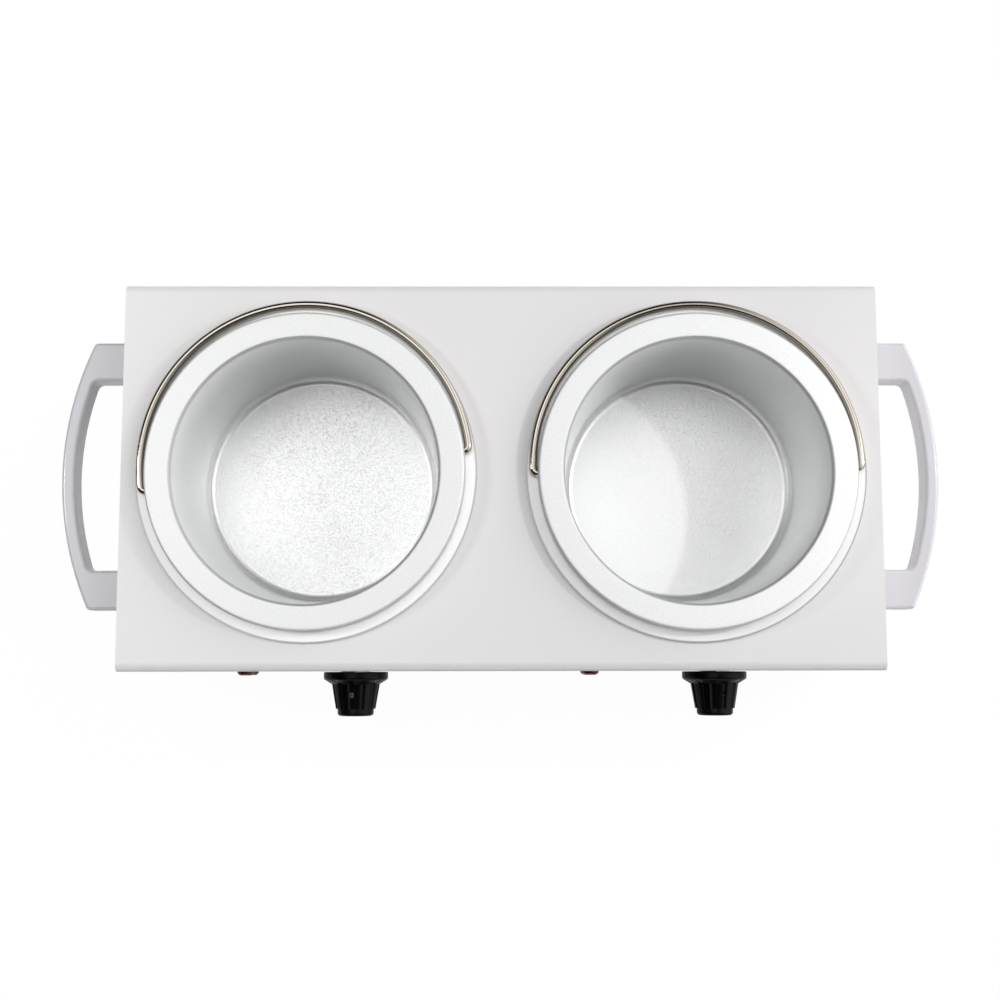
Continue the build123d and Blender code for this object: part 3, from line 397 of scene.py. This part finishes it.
handle_plastic = moulded(
    "handle_plastic", (0.645, 0.632, 0.664), 0.24, 1200.0, Coat_Weight=0.5, Coat_Roughness=0.06
)
knob_plastic = moulded(
    "knob_plastic", (0.003, 0.003, 0.0035), 0.24, 1600.0, Specular_IOR_Level=0.1
)
rocker_plastic = moulded("rocker_plastic", (0.015, 0.015, 0.016), 0.25, 1600.0)
black_nylon = moulded("black_nylon", (0.03, 0.03, 0.032), 0.48, 900.0)
foot_rubber = moulded("foot_rubber", (0.022, 0.022, 0.022), 0.75, 500.0)
white_ceramic = moulded("white_ceramic", (0.72, 0.70, 0.66), 0.55, 700.0)
print("mouldings:", handle_plastic.name, knob_plastic.name, rocker_plastic.name)
print("others:", black_nylon.name, foot_rubber.name, white_ceramic.name)

# %% [markdown]
# The lamp lenses are tinted clear plastic. Unlit, they are nearly black in the middle and show
# their colour where light passes through the rounded edge, so they let part of the light in.

# %% Lamp lenses
def tinted_lens(name, colour):
    lens = Finish(name, colour, 0.12, Transmission_Weight=0.55, IOR=1.49)
    rings = lens.noise(260.0, 1.0)
    lens.set("Roughness", 0.08 + 0.1 * rings)
    lens.set("Base Color", lens.blend(rings, lens.tone(0.8), lens.tone(1.25)))
    lens.bump(rings, 0.015 * MM)
    return lens.material


red_lens = tinted_lens("red_lens", (0.17, 0.006, 0.010))
green_lens = tinted_lens("green_lens", (0.006, 0.085, 0.040))
print("lenses:", red_lens.name, green_lens.name)

# %% [markdown]
# The lagging round each heater is a blanket woven of glass yarn. Two crossed sets of waves give
# its over and under, and the bump makes them stand up.

# %% Glass cloth
def glass_cloth(name):
    cloth = Finish(name, (0.80, 0.77, 0.68), 0.85)
    yarn = {"Vector": cloth.places, "Scale": 420.0}
    across = cloth.node("ShaderNodeTexWave", {"bands_direction": "Z"}, yarn)
    along = cloth.node("ShaderNodeTexWave", {"bands_direction": "X"}, yarn)
    weave = across * along
    cloth.set("Base Color", cloth.blend(weave, cloth.tone(0.8), cloth.tone(1.1)))
    cloth.bump(weave, 0.3 * MM)
    return cloth.material


glass_wool = glass_cloth("glass_wool")
print("cloth:", glass_wool.name)

# %% [markdown]
# ## One finish for each node
#
# The engineering model's record says which finish each of its nodes has. The materials above carry
# the same names, so every node takes the one that its record names.

# %% Dress the nodes
for part in frame["record"]["subparts"]:
    node = nodes[part["node"]]
    node.data.materials.clear()
    node.data.materials.append(bpy.data.materials[part["material_slot"]])

# %% [markdown]
# Two nodes differ from their record: the grub screws in the knobs. Such screws are hardened steel,
# blackened in hot oil, and zinc would shine out of the black knob. They get a dark metal of their
# own, in which the oil left clouds.

# %% Blacken the grub screws
grub_steel = Finish("grub_steel", (0.11, 0.11, 0.11), 0.4, Metallic=1.0)
oil = grub_steel.noise(700.0, 2.0)
grub_steel.set("Roughness", 0.3 + 0.2 * oil)
grub_steel.set("Base Color", grub_steel.blend(oil, grub_steel.tone(0.8), grub_steel.tone(1.3)))
for side in sides:
    nodes[f"grub_screw_{side}"].data.materials[0] = grub_steel.material
print("blackened:", len(sides), "grub screws")

# %% [markdown]
# ## Helpers for modelling by hand
#
# The pieces below are modelled with the same operators that a person uses: add a primitive, open
# edit mode, select, extrude, inset, bevel. An operator works on whatever is selected, so the first
# two helpers clear the selection or leave one piece in it, and `choose` selects faces, edges or
# points by where they are.

# %% Select and extrude
def clear_selection():
    if bpy.context.object and bpy.context.object.mode != "OBJECT":
        bpy.ops.object.mode_set(mode="OBJECT")
    bpy.ops.object.select_all(action="DESELECT")


def select_only(piece):
    clear_selection()
    piece.select_set(True)
    bpy.context.view_layer.objects.active = piece


def begin(name):
    """Names the primitive that was just added, with its place in its mesh."""
    piece = bpy.context.object
    piece.name = name
    piece.data.name = name
    bpy.ops.object.transform_apply(location=True, rotation=True, scale=True)
    return piece


def choose(piece, kind, test):
    """Selects one piece's VERT, EDGE or FACE elements that pass a test, in edit mode."""
    bpy.context.view_layer.objects.active = piece
    bpy.ops.object.mode_set(mode="EDIT")
    bpy.ops.mesh.select_mode(type=kind)
    bpy.ops.mesh.select_all(action="DESELECT")
    bpy.ops.object.mode_set(mode="OBJECT")
    mesh = piece.data
    if kind == "VERT":
        for point in mesh.vertices:
            point.select = test(point.co)
    if kind == "EDGE":
        for edge in mesh.edges:
            edge.select = test(*(mesh.vertices[end].co for end in edge.vertices))
    if kind == "FACE":
        for face in mesh.polygons:
            face.select = test(face.center, face.normal)
    bpy.ops.object.mode_set(mode="EDIT")


def push(offset):
    """Extrudes the selection by a vector."""
    bpy.ops.mesh.extrude_region_move(TRANSFORM_OT_translate={"value": offset})


def level_ring(centre, height, radius):
    """A test for the edges of one level circle."""
    return lambda a, b: all(
        abs(end.z - height) < 1e-5
        and abs(math.hypot(end.x - centre[0], end.y - centre[1]) - radius) < 2e-4
        for end in (a, b)
    )


# %% [markdown]
# A piece that is ready is smoothed where its faces meet at less than 35 degrees, with its wide
# faces kept flat, as on a real pressing. It takes its finish, rides on a body of the model, and
# stands in for one of that body's plain nodes.

# %% Modifiers, and a piece that is ready
def apply_modifiers(piece):
    select_only(piece)
    for modifier in list(piece.modifiers):
        bpy.ops.object.modifier_apply(modifier=modifier.name)


def finish(piece, body, material, node):
    """Smooths a piece, gives it its finish and puts it in a node's place."""
    select_only(piece)
    bpy.ops.object.shade_smooth_by_angle(angle=math.radians(35))
    shading = piece.modifiers.new("shading", "WEIGHTED_NORMAL")
    shading.keep_sharp = True
    apply_modifiers(piece)
    piece.data.materials.clear()
    piece.data.materials.append(material)
    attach(piece, body)
    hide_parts(node)
    print(piece.name, "faces:", len(piece.data.polygons))


# %% [markdown]
# ## Pots
#
# Each pot is pressed from one sheet: a flat rim with a turned-down edge, a mouth with a small
# radius, a slightly tapered wall and a floor with a generous bend. It starts as a low cylinder,
# whose top is inset to the mouth and pushed down to the floor. The bends are bevels, and Solidify
# gives the sheet its thickness at the end, so inside and outside stay parallel. Two short
# cylinders then drill the holes that the bail hooks into.

# %% Press the pots
floor_share = 59.5 * MM / pot_mouth
rim_skirt = 7.5 * MM
floor_bend = 4.5 * MM
mouth_bend = 1.7 * MM
rim_bend = 1.6 * MM
shells = {}

for side, pot in pots.items():
    centre = (pot["x"], pot["y"])
    clear_selection()
    bpy.ops.mesh.primitive_cylinder_add(
        vertices=192,
        radius=pot["rim"],
        depth=rim_skirt,
        location=(*centre, pot["top"] - rim_skirt / 2),
    )
    shell = begin(f"pot_{side}_pressing")
    choose(shell, "FACE", lambda middle, normal: normal.z < -0.5)
    bpy.ops.mesh.delete(type="FACE")
    choose(shell, "FACE", lambda middle, normal: normal.z > 0.5)
    bpy.ops.mesh.inset(thickness=pot["rim"] - pot_mouth)
    push((0, 0, pot["floor"] - pot["top"]))
    bpy.ops.transform.resize(
        value=(floor_share, floor_share, 1), center_override=(*centre, pot["floor"])
    )
    choose(shell, "EDGE", level_ring(centre, pot["floor"], pot_mouth * floor_share))
    bpy.ops.mesh.bevel(offset=floor_bend, segments=8, affect="EDGES")
    choose(shell, "EDGE", level_ring(centre, pot["top"], pot_mouth))
    bpy.ops.mesh.bevel(offset=mouth_bend, segments=6, affect="EDGES")
    choose(shell, "EDGE", level_ring(centre, pot["top"], pot["rim"]))
    bpy.ops.mesh.bevel(offset=rim_bend, segments=5, affect="EDGES")
    thickness = shell.modifiers.new("sheet", "SOLIDIFY")
    thickness.thickness = pot_sheet
    thickness.offset = -1
    thickness.use_even_offset = True
    apply_modifiers(shell)
    shells[side] = shell
    print(side, "pot, faces of the sheet:", len(shell.data.polygons))

# %% Drill the holes for the bails
hinge_turn = {"left": math.radians(7.3), "right": math.radians(0.9)}
hinge_z = 124.3 * MM
hole_radius = 2.3 * MM
hole_reach = 76 * MM


def combine(piece, tool, operation):
    """Cuts one piece with another, or joins it on, and takes the tool away."""
    step = piece.modifiers.new("combine", "BOOLEAN")
    step.operation = operation
    step.object = tool
    step.solver = "EXACT"
    apply_modifiers(piece)
    bpy.data.objects.remove(tool)


for side, pot in pots.items():
    turn = hinge_turn[side]
    for out in (-hole_reach, hole_reach):
        clear_selection()
        bpy.ops.mesh.primitive_cylinder_add(
            vertices=32,
            radius=hole_radius,
            depth=8 * MM,
            location=(pot["x"] + out * math.cos(turn), pot["y"] + out * math.sin(turn), hinge_z),
            rotation=(0, math.radians(90), turn),
        )
        combine(shells[side], begin("hook_hole"), "DIFFERENCE")
    finish(shells[side], f"pot_{side}", pot_aluminium, f"pot_{side}")

# %% [markdown]
# ## Bails
#
# A bail is one length of round wire: a short hook through the rim's edge, a tight bend, half a turn
# round the pot, and the same again in reverse. Spin does each bend exactly: it carries the wire's
# cross-section round a centre and leaves the far end selected for the next step. The wire is
# modelled lying flat at the origin, then tilted onto its pot.

# %% Bend the bails
wire = 1.9 * MM
hook_start = 71.3 * MM  # from the pot's axis to the wire's tips
arm = 78.5 * MM  # from the pot's axis to the wire beside it
bend = 2.6 * MM
drop = 0.6 * MM  # from the hooks to the far side of the lying bail
lying = math.asin(drop / (arm + bend))
turns = [
    ((arm - bend, bend, 0), 90, 10),
    ((0, bend, 0), 180, 112),
    ((bend - arm, bend, 0), 90, 10),
]


def at_tips(a, b):
    """True for the round edges at the wire's two ends."""
    return all(abs(abs(end.x) - hook_start) < 1e-5 for end in (a, b)) and a.y < wire * 1.01


def place(piece, matrix):
    """Moves a piece to its place and applies it, so that its origin stays at the frame's."""
    piece.matrix_world = matrix
    select_only(piece)
    bpy.ops.object.transform_apply(location=True, rotation=True, scale=True)


for side, pot in pots.items():
    clear_selection()
    bpy.ops.mesh.primitive_circle_add(
        vertices=20,
        radius=wire,
        fill_type="NGON",
        location=(hook_start, 0, 0),
        rotation=(0, math.radians(90), 0),
    )
    bail = begin(f"bail_{side}_wire")
    choose(bail, "FACE", lambda middle, normal: True)
    push((arm - bend - hook_start, 0, 0))
    for middle, angle, steps in turns:
        bpy.ops.mesh.spin(steps=steps, angle=math.radians(angle), center=middle, axis=(0, 0, -1))
    push((arm - bend - hook_start, 0, 0))
    bpy.ops.mesh.select_all(action="SELECT")
    bpy.ops.mesh.normals_make_consistent(inside=False)
    choose(bail, "EDGE", at_tips)
    bpy.ops.mesh.bevel(offset=0.5 * MM, segments=3, affect="EDGES")
    place(
        bail,
        Matrix.Translation((pot["x"], pot["y"], hinge_z))
        @ Matrix.Rotation(hinge_turn[side], 4, "Z")
        @ Matrix.Rotation(-lying, 4, "X"),
    )
    finish(bail, f"bail_{side}", bail_wire, f"bail_{side}")

# %% [markdown]
# ## Handles
#
# Seen from above, a handle is a D with a bowed grip. Both arcs come from wide low cylinders, cut
# off by bisecting them at the wall and at the ends. The larger one is the handle's body and the
# smaller one its finger gap. An arc's radius follows from how far it stands off the wall: `corner`
# at its two ends and `reach` in the middle. The long edges are rounded, and each post flares a
# little where it meets the wall.

# %% Shape the grip and its gap
wall_low, wall_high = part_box("handle_right")
wall = wall_low.x
grip_y = (wall_low.y + wall_high.y) / 2
flare = 0.6 * MM
grip_low, grip_top = wall_low.z + flare, wall_high.z - flare
half_grip, half_gap = 66.7 * MM, 47.3 * MM
grip_corner, gap_corner = 20.6 * MM, 20.8 * MM
grip_reach, gap_reach = 35.1 * MM, 28.7 * MM
over = 1 * MM  # that the gap's tool stands past what it cuts


def bowed_slab(name, back, half, corner, reach, low, high):
    """A slab between two heights, from behind the wall to a bowed front."""
    radius = (half**2 + (reach - corner) ** 2) / (2 * (reach - corner))
    clear_selection()
    bpy.ops.mesh.primitive_cylinder_add(
        vertices=180,
        radius=radius,
        depth=high - low,
        location=(wall + reach - radius, grip_y, (low + high) / 2),
    )
    slab = begin(name)
    cuts = [
        ((wall - back, grip_y, 0), (-1, 0, 0)),
        ((wall, grip_y + half, 0), (0, 1, 0)),
        ((wall, grip_y - half, 0), (0, -1, 0)),
    ]
    for spot, outward in cuts:
        choose(slab, "FACE", lambda middle, normal: True)
        bpy.ops.mesh.bisect(plane_co=spot, plane_no=outward, use_fill=True, clear_outer=True)
    return slab


def front_corners(corner, half):
    """A test for the upright edges at a slab's two front corners."""
    return lambda a, b: all(
        abs(end.x - wall - corner) < 1e-4 and abs(abs(end.y - grip_y) - half) < 1e-4
        for end in (a, b)
    )


grip = bowed_slab("handle_moulding", 0, half_grip, grip_corner, grip_reach, grip_low, grip_top)
choose(grip, "EDGE", front_corners(grip_corner, half_grip))
bpy.ops.mesh.bevel(offset=1.3 * MM, segments=4, affect="EDGES")
gap = bowed_slab(
    "finger_gap", over, half_gap, gap_corner, gap_reach, grip_low - over, grip_top + over
)
choose(gap, "EDGE", front_corners(gap_corner, half_gap))
bpy.ops.mesh.bevel(offset=2.5 * MM, segments=6, affect="EDGES")
combine(grip, gap, "DIFFERENCE")
print("handle faces:", len(grip.data.polygons))

# %% Round the handle and flare its posts
long_edge = 1.8 * MM
collar_start, collar_depth = 3 * MM, 9.2 * MM
collar_taper = 1.7 * MM
collar_edge = 1.9 * MM
post = half_grip - half_gap
height = grip_top - grip_low


def along_rim(a, b):
    """True for the edges round the top and bottom faces, apart from those at the wall."""
    level = any(all(abs(end.z - z) < 1e-5 for end in (a, b)) for z in (grip_low, grip_top))
    return level and max(a.x, b.x) > wall + 1e-5


choose(grip, "EDGE", along_rim)
bpy.ops.mesh.bevel(offset=long_edge, segments=5, affect="EDGES")
for end in (-1, 1):
    middle = (
        wall + collar_start / 2,
        grip_y + end * (half_grip - post / 2),
        (grip_low + grip_top) / 2,
    )
    clear_selection()
    bpy.ops.mesh.primitive_cube_add(size=1, location=middle)
    bpy.context.object.scale = (collar_start, post + 2 * flare, height + 2 * flare)
    collar = begin("collar")
    choose(collar, "FACE", lambda centre, normal: normal.x > 0.9)
    push((collar_depth - collar_start, 0, 0))
    bpy.ops.transform.resize(
        value=(1, 1 - collar_taper / post, 1 - collar_taper / height), center_override=middle
    )
    choose(collar, "EDGE", lambda a, b: abs(a.x - b.x) > MM)
    bpy.ops.mesh.bevel(offset=collar_edge, segments=5, affect="EDGES")
    combine(grip, collar, "UNION")
print("handle faces, with its collars:", len(grip.data.polygons))

# %% Copy the handle to the other end
def copy_of(piece, name):
    """Another object of the same shape, with a mesh of its own."""
    select_only(piece)
    bpy.ops.object.duplicate()
    twin = bpy.context.object
    twin.name = name
    twin.data.name = name
    return twin


other = copy_of(grip, "handle_left_moulding")
place(other, Matrix.Rotation(math.pi, 4, "Z") @ Matrix.Translation((0, -2 * grip_y, 0)))
finish(grip, "housing", handle_plastic, "handle_right")
finish(other, "housing", handle_plastic, "handle_left")

# %% [markdown]
# ## Lamps
#
# Each lens is a low button with a round edge, on a short stem that sits in the lamp's body. One is
# modelled lying on its back, and the four are copies of it that face forwards.

# %% Model the lenses
lens_low, lens_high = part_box("lamp_red_left")
lens_radius = (lens_high.x - lens_low.x) / 2
lens_rise = 2.4 * MM
stem_radius = 3.05 * MM
clear_selection()
bpy.ops.mesh.primitive_cylinder_add(
    vertices=96, radius=lens_radius, depth=lens_rise, location=(0, 0, lens_rise / 2)
)
lens = begin("lens_button")
choose(lens, "EDGE", level_ring((0, 0), lens_rise, lens_radius))
bpy.ops.mesh.bevel(offset=2.1 * MM, segments=10, affect="EDGES")
choose(lens, "FACE", lambda middle, normal: normal.z < -0.9)
bpy.ops.mesh.inset(thickness=lens_radius - stem_radius)
push((0, 0, front_wall - lens_high.y))
print("lens faces:", len(lens.data.polygons))

# %% Set the lenses in the front wall
def on_front(x, z, turn=0.0):
    """A place on the front wall, for a piece that was modelled standing on its axis."""
    return (
        Matrix.Translation((x, front_wall, z))
        @ Matrix.Rotation(math.radians(90), 4, "X")
        @ Matrix.Rotation(math.radians(turn), 4, "Z")
    )


for side in sides:
    for colour, tint in (("red", red_lens), ("green", green_lens)):
        x, y, z = middle_of(f"lamp_{colour}_{side}")
        button = copy_of(lens, f"lens_{colour}_{side}")
        place(button, on_front(x, z))
        finish(button, "housing", tint, f"lamp_{colour}_{side}")
bpy.data.objects.remove(lens)

# %% [markdown]
# ## Knobs
#
# A knob is a turned shape: a skirt with a sloping face, a tapered grip with twelve flutes, and a
# smooth cap. It is modelled standing on its axis, from a low cylinder, by insets and extrusions
# upwards for the grip and inwards for the recess and the bore. Each flute is three rows of points
# drawn inwards, and a thin cylinder drills the hole of the grub screw.

# %% Turn the knob
# Each radius, with its heights above the front wall
skirt_radius, skirt_foot, skirt_edge = 16.4 * MM, 0.8 * MM, 4.4 * MM
foot_radius, grip_foot = 12.167 * MM, 6.987 * MM
end_radius, grip_end = 10.09 * MM, 19.4 * MM
cap_radius, knob_end = 9.2 * MM, 23.0 * MM
# Each radius, with how deep it goes
recess_radius, recess_depth = 9.6 * MM, 4.2 * MM
bore_radius, bore_depth = 3.05 * MM, 12.5 * MM
narrower = end_radius / foot_radius

clear_selection()
bpy.ops.mesh.primitive_cylinder_add(
    vertices=144,
    radius=skirt_radius,
    depth=skirt_edge - skirt_foot,
    location=(0, 0, (skirt_foot + skirt_edge) / 2),
)
knob = begin("knob_turning")
choose(knob, "FACE", lambda middle, normal: normal.z > 0.9)
bpy.ops.mesh.inset(thickness=skirt_radius - foot_radius, depth=grip_foot - skirt_edge)
push((0, 0, grip_end - grip_foot))
bpy.ops.transform.resize(value=(narrower, narrower, 1), center_override=(0, 0, 0))
bpy.ops.mesh.inset(thickness=end_radius - cap_radius)
push((0, 0, knob_end - grip_end))
choose(knob, "FACE", lambda middle, normal: normal.z < -0.9)
bpy.ops.mesh.inset(thickness=skirt_radius - recess_radius)
push((0, 0, recess_depth))
bpy.ops.mesh.inset(thickness=recess_radius - bore_radius)
push((0, 0, bore_depth))
print("knob faces, turned:", len(knob.data.polygons))

# %% Press the flutes and round the edges
flute_angle = 360 / 12


def on_flute(point, offset):
    """True for the grip's points at one angle from the middle of the nearest flute."""
    radius = math.hypot(point.x, point.y)
    low_ring = abs(point.z - grip_foot) < 5e-5 and abs(radius - foot_radius) < 5e-5
    high_ring = abs(point.z - grip_end) < 5e-5 and abs(radius - end_radius) < 5e-5
    turn = math.degrees(math.atan2(point.y, point.x)) % flute_angle
    return (low_ring or high_ring) and abs(min(turn, flute_angle - turn) - offset) < 0.2


for offset, depth in ((0.0, 0.90 * MM), (2.5, 0.81 * MM), (5.0, 0.50 * MM)):
    choose(knob, "VERT", lambda point: on_flute(point, offset))
    inward = 1 - depth / foot_radius
    bpy.ops.transform.resize(value=(inward, inward, 1), center_override=(0, 0, 0))

round_edges = [
    (skirt_foot, skirt_radius, 0.5 * MM, 3),
    (skirt_edge, skirt_radius, 0.9 * MM, 6),
    (knob_end, cap_radius, 1.6 * MM, 6),
]
for level, radius, width, steps in round_edges:
    choose(knob, "EDGE", level_ring((0, 0), level, radius))
    bpy.ops.mesh.bevel(offset=width, segments=steps, affect="EDGES")
print("knob faces, fluted:", len(knob.data.polygons))

# %% Drill the knob for its grub screw
grub_radius, grub_height = 1.55 * MM, 12.3 * MM
shaft_flat = 2.4 * MM
clear_selection()
bpy.ops.mesh.primitive_cylinder_add(
    vertices=32,
    radius=grub_radius,
    depth=skirt_radius - shaft_flat,
    location=(0, (skirt_radius + shaft_flat) / 2, grub_height),
    rotation=(math.radians(90), 0, 0),
)
combine(knob, begin("grub_hole"), "DIFFERENCE")
print("knob faces, drilled:", len(knob.data.polygons))

# %% [markdown]
# The knob's skirt carries a small scale from 1 to 5, printed in a soft white and a little worn.
# A text is made a mesh first. Then it's laid on the slope, one place of the scale at a time.

# %% Print ink
def worn_print(name):
    ink = Finish(name, (0.50, 0.50, 0.48), 0.55)
    wear = ink.noise(2600.0, 2.0).above(0.35, 0.6)
    ink.set("Base Color", ink.blend(wear, ink.tone(0.55), ink.tone(1.1)))
    ink.set("Roughness", 0.45 + 0.2 * wear)
    return ink.material


print_white = worn_print("print_white")
print("ink:", print_white.name)

# %% Cut out digits and strokes
print_depth = 0.06 * MM


def flat_text(body, size):
    clear_selection()
    bpy.ops.object.text_add()
    sign = bpy.context.object
    sign.data.body = body
    sign.data.size = size
    sign.data.align_x = "CENTER"
    sign.data.align_y = "CENTER"
    sign.data.extrude = print_depth / 2
    sign.data.resolution_u = 6
    bpy.ops.object.convert(target="MESH")
    bpy.ops.object.mode_set(mode="EDIT")
    bpy.ops.mesh.select_all(action="SELECT")
    bpy.ops.mesh.remove_doubles(threshold=0.001 * MM)
    bpy.ops.object.mode_set(mode="OBJECT")
    return bpy.context.object


def flat_stroke(name, width, length):
    clear_selection()
    bpy.ops.mesh.primitive_cube_add(size=1)
    bpy.context.object.scale = (width, length, print_depth)
    return begin(name)


# %% Lay the scale on the skirt
slope = math.atan2(grip_foot - skirt_edge, skirt_radius - foot_radius)
digits = 5
step_angle = 270 / digits
digit_size, digit_ring = 2.5 * MM, 13.9 * MM
stroke_width, stroke_length, stroke_ring = 0.22 * MM, 0.9 * MM, 14.9 * MM


def on_slope(angle, radius):
    """The place on the skirt's slope at an angle from the top, its top pointing outwards."""
    return (
        Matrix.Rotation(math.radians(angle), 4, "Z")
        @ Matrix.Translation((0, radius, skirt_edge + (skirt_radius - radius) * math.tan(slope)))
        @ Matrix.Rotation(-slope, 4, "X")
    )


marks = []
for digit in range(1, digits + 1):
    number = flat_text(str(digit), digit_size)
    place(number, on_slope(step_angle * digit, digit_ring))
    marks.append(number)
    if digit < digits:
        for part_way in (0.25, 0.5, 0.75):
            stroke = flat_stroke("stroke", stroke_width, stroke_length)
            place(stroke, on_slope(step_angle * (digit + part_way), stroke_ring))
            marks.append(stroke)
print("marks on the scale:", len(marks))

# %% Join the scale
clear_selection()
for mark in marks:
    mark.select_set(True)
bpy.context.view_layer.objects.active = marks[0]
bpy.ops.object.join()
scale = bpy.context.object
scale.name = "knob_scale"
scale.data.name = "knob_scale"
print("scale faces:", len(scale.data.polygons))

# %% [markdown]
# Both knobs lie down on the front wall, each turned a little, as they were left when the picture
# was taken, and the scale is printed on each. A pointer is printed on the wall above each knob.

# %% Place the knobs
knob_turn = {"left": 7.8, "right": -17.0}
pointer_rise = 20 * MM
pointer_width, pointer_length = 0.8 * MM, 3.2 * MM


def print_mark(mark, matrix, body):
    """Puts a printed mark in its place: it rides on a body and replaces nothing."""
    place(mark, matrix)
    mark.data.materials.clear()
    mark.data.materials.append(print_white)
    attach(mark, body)
    print(mark.name, "faces:", len(mark.data.polygons))


for side in sides:
    x, y, z = middle_of(f"knob_{side}")
    turned = copy_of(knob, f"knob_{side}_turning")
    place(turned, on_front(x, z, knob_turn[side]))
    finish(turned, f"knob_{side}", knob_plastic, f"knob_{side}")
    printed = copy_of(scale, f"knob_{side}_scale")
    print_mark(printed, on_front(x, z, knob_turn[side]), f"knob_{side}")
    pointer = flat_stroke(f"pointer_{side}", pointer_width, pointer_length)
    print_mark(pointer, on_front(x, z + pointer_rise), "housing")
bpy.data.objects.remove(knob)
bpy.data.objects.remove(scale)

# %% [markdown]
# ## The switch's marks
#
# A line and a ring on the rocker say which end switches on. Each is laid on its half of the
# rocker's face, which leans back from the middle.

# %% Mark the rocker
half_throw = math.radians(10)
pivot_inset = 1.2 * MM
face_rise = 3.3 * MM
mark_reach = 4.3 * MM
x, y, z = middle_of("switch_housing")
rocker_face = (
    Matrix.Translation((x, rear_wall - pivot_inset, z))
    @ Matrix.Rotation(-math.radians(90) - half_throw, 4, "X")
    @ Matrix.Rotation(math.pi, 4, "Z")
)
clear_selection()
bpy.ops.mesh.primitive_torus_add(
    major_radius=1.35 * MM, minor_radius=0.28 * MM, major_segments=48, minor_segments=12
)
bpy.context.object.scale = (1, 1, 0.12)
ring_mark = begin("rocker_ring")
line_mark = flat_stroke("rocker_line", 0.56 * MM, 3.0 * MM)
for mark, end in ((line_mark, 1), (ring_mark, -1)):
    half_face = Matrix.Translation(
        (0, end * mark_reach, face_rise + mark_reach * math.tan(half_throw))
    ) @ Matrix.Rotation(end * half_throw, 4, "X")
    print_mark(mark, rocker_face @ half_face, "rocker")

# %% [markdown]
# ## The studio
#
# A wide pale floor and two lamps at the sides: the right one is small, so that the right pot's
# rim throws a crisp curved shadow on its floor. The rest of the light comes from the world, in
# three soft glows: a softbox high up at the back, a window on the right, and a little light low
# in front, for the front wall. The world is dark towards the viewer, as a room is behind a
# photographer, and shows white where the background itself is seen.

# %% Floor
clear_selection()
bpy.ops.mesh.primitive_plane_add(size=6.0, location=(0, 0, 0))
floor = bpy.context.object
floor.name = "floor"
ground = Finish("floor_white", (0.50, 0.50, 0.50), 0.9)
ray = ground.node("ShaderNodeLightPath", {}, {}, "Is Camera Ray")
glossy = ground.node("ShaderNodeLightPath", {}, {}, "Is Glossy Ray")
clear = ground.node("ShaderNodeLightPath", {}, {}, "Is Transmission Ray")
white = ground.node("ShaderNodeEmission", {}, {"Color": (1, 1, 1, 1), "Strength": 1.06})
seen = (0.91 * ray + 0.45 * glossy + 0.6 * clear).math("MINIMUM", 0.91)
mixed = ground.node("ShaderNodeMixShader", {}, {0: seen, 2: white})
ground.tree.links.new(ground.shader.outputs[0], mixed.socket.node.inputs[1])
ground.tree.links.new(mixed.socket, ground.tree.nodes["Material Output"].inputs["Surface"])
floor.data.materials.append(ground.material)
print("floor, metres across:", round(floor.dimensions.x, 2))

# %% Lights
def round_lamp(name, spot, target, size, power):
    """A disk of light, its size in metres and its power in watts, that faces a target."""
    data = bpy.data.lights.new(name, "AREA")
    data.shape = "DISK"
    data.size = size
    data.energy = power
    lamp = bpy.data.objects.new(name, data)
    lamp.location = spot
    lamp.rotation_euler = (Vector(target) - Vector(spot)).to_track_quat("-Z", "Y").to_euler()
    bpy.context.collection.objects.link(lamp)
    print(name, "watts:", power)


round_lamp("right_lamp", (0.44, 0.08, 0.482), (0.09, 0.01, 0.1), size=0.02, power=0.61)
round_lamp("left_lamp", (-0.54, 0.05, 0.482), (-0.09, 0.01, 0.1), size=0.12, power=0.85)

# %% World
world = bpy.data.worlds.new("studio")
bpy.context.scene.world = world
world.use_nodes = True
sky = Nodes(world.node_tree)
backdrop = sky.tree.nodes["Background"]
backdrop.inputs["Color"].default_value = (1, 1, 1, 1)
direction = sky.node("ShaderNodeTexCoord", {}, {}, "Generated")


def glow(towards, low, high, strength):
    """Light from round one direction: full where the cosine is high, none where it's low."""
    toward = Vector(towards).normalized()
    facing = sky.node(
        "ShaderNodeVectorMath", {"operation": "DOT_PRODUCT"}, {0: direction, 1: toward}, "Value"
    )
    return sky.node(
        "ShaderNodeMapRange",
        {"interpolation_type": "SMOOTHSTEP"},
        {"Value": facing, "From Min": low, "From Max": high, "To Min": 0.0, "To Max": strength},
    )


softbox = glow((-0.188, 0.193, 0.963), 0.87, 0.99, 2.2)
window = glow((1, 0.25, 0.35), 0.45, 0.95, 2.0)
low_front = glow((0, -1, -0.1), 0.85, 1.0, 2.8)
room = softbox + (window + low_front)
camera_ray = sky.node("ShaderNodeLightPath", {}, {}, "Is Camera Ray")
seen_light = room.math("MAXIMUM", camera_ray)
sky.tree.links.new(seen_light.socket, backdrop.inputs["Strength"])
print("nodes in the world:", len(sky.tree.nodes))

# %% [markdown]
# ## Finish
#
# The picture uses the plain Standard view, so that colours come out as they are written.

# %% Finish
bpy.context.scene.view_settings.view_transform = "Standard"
clear_selection()
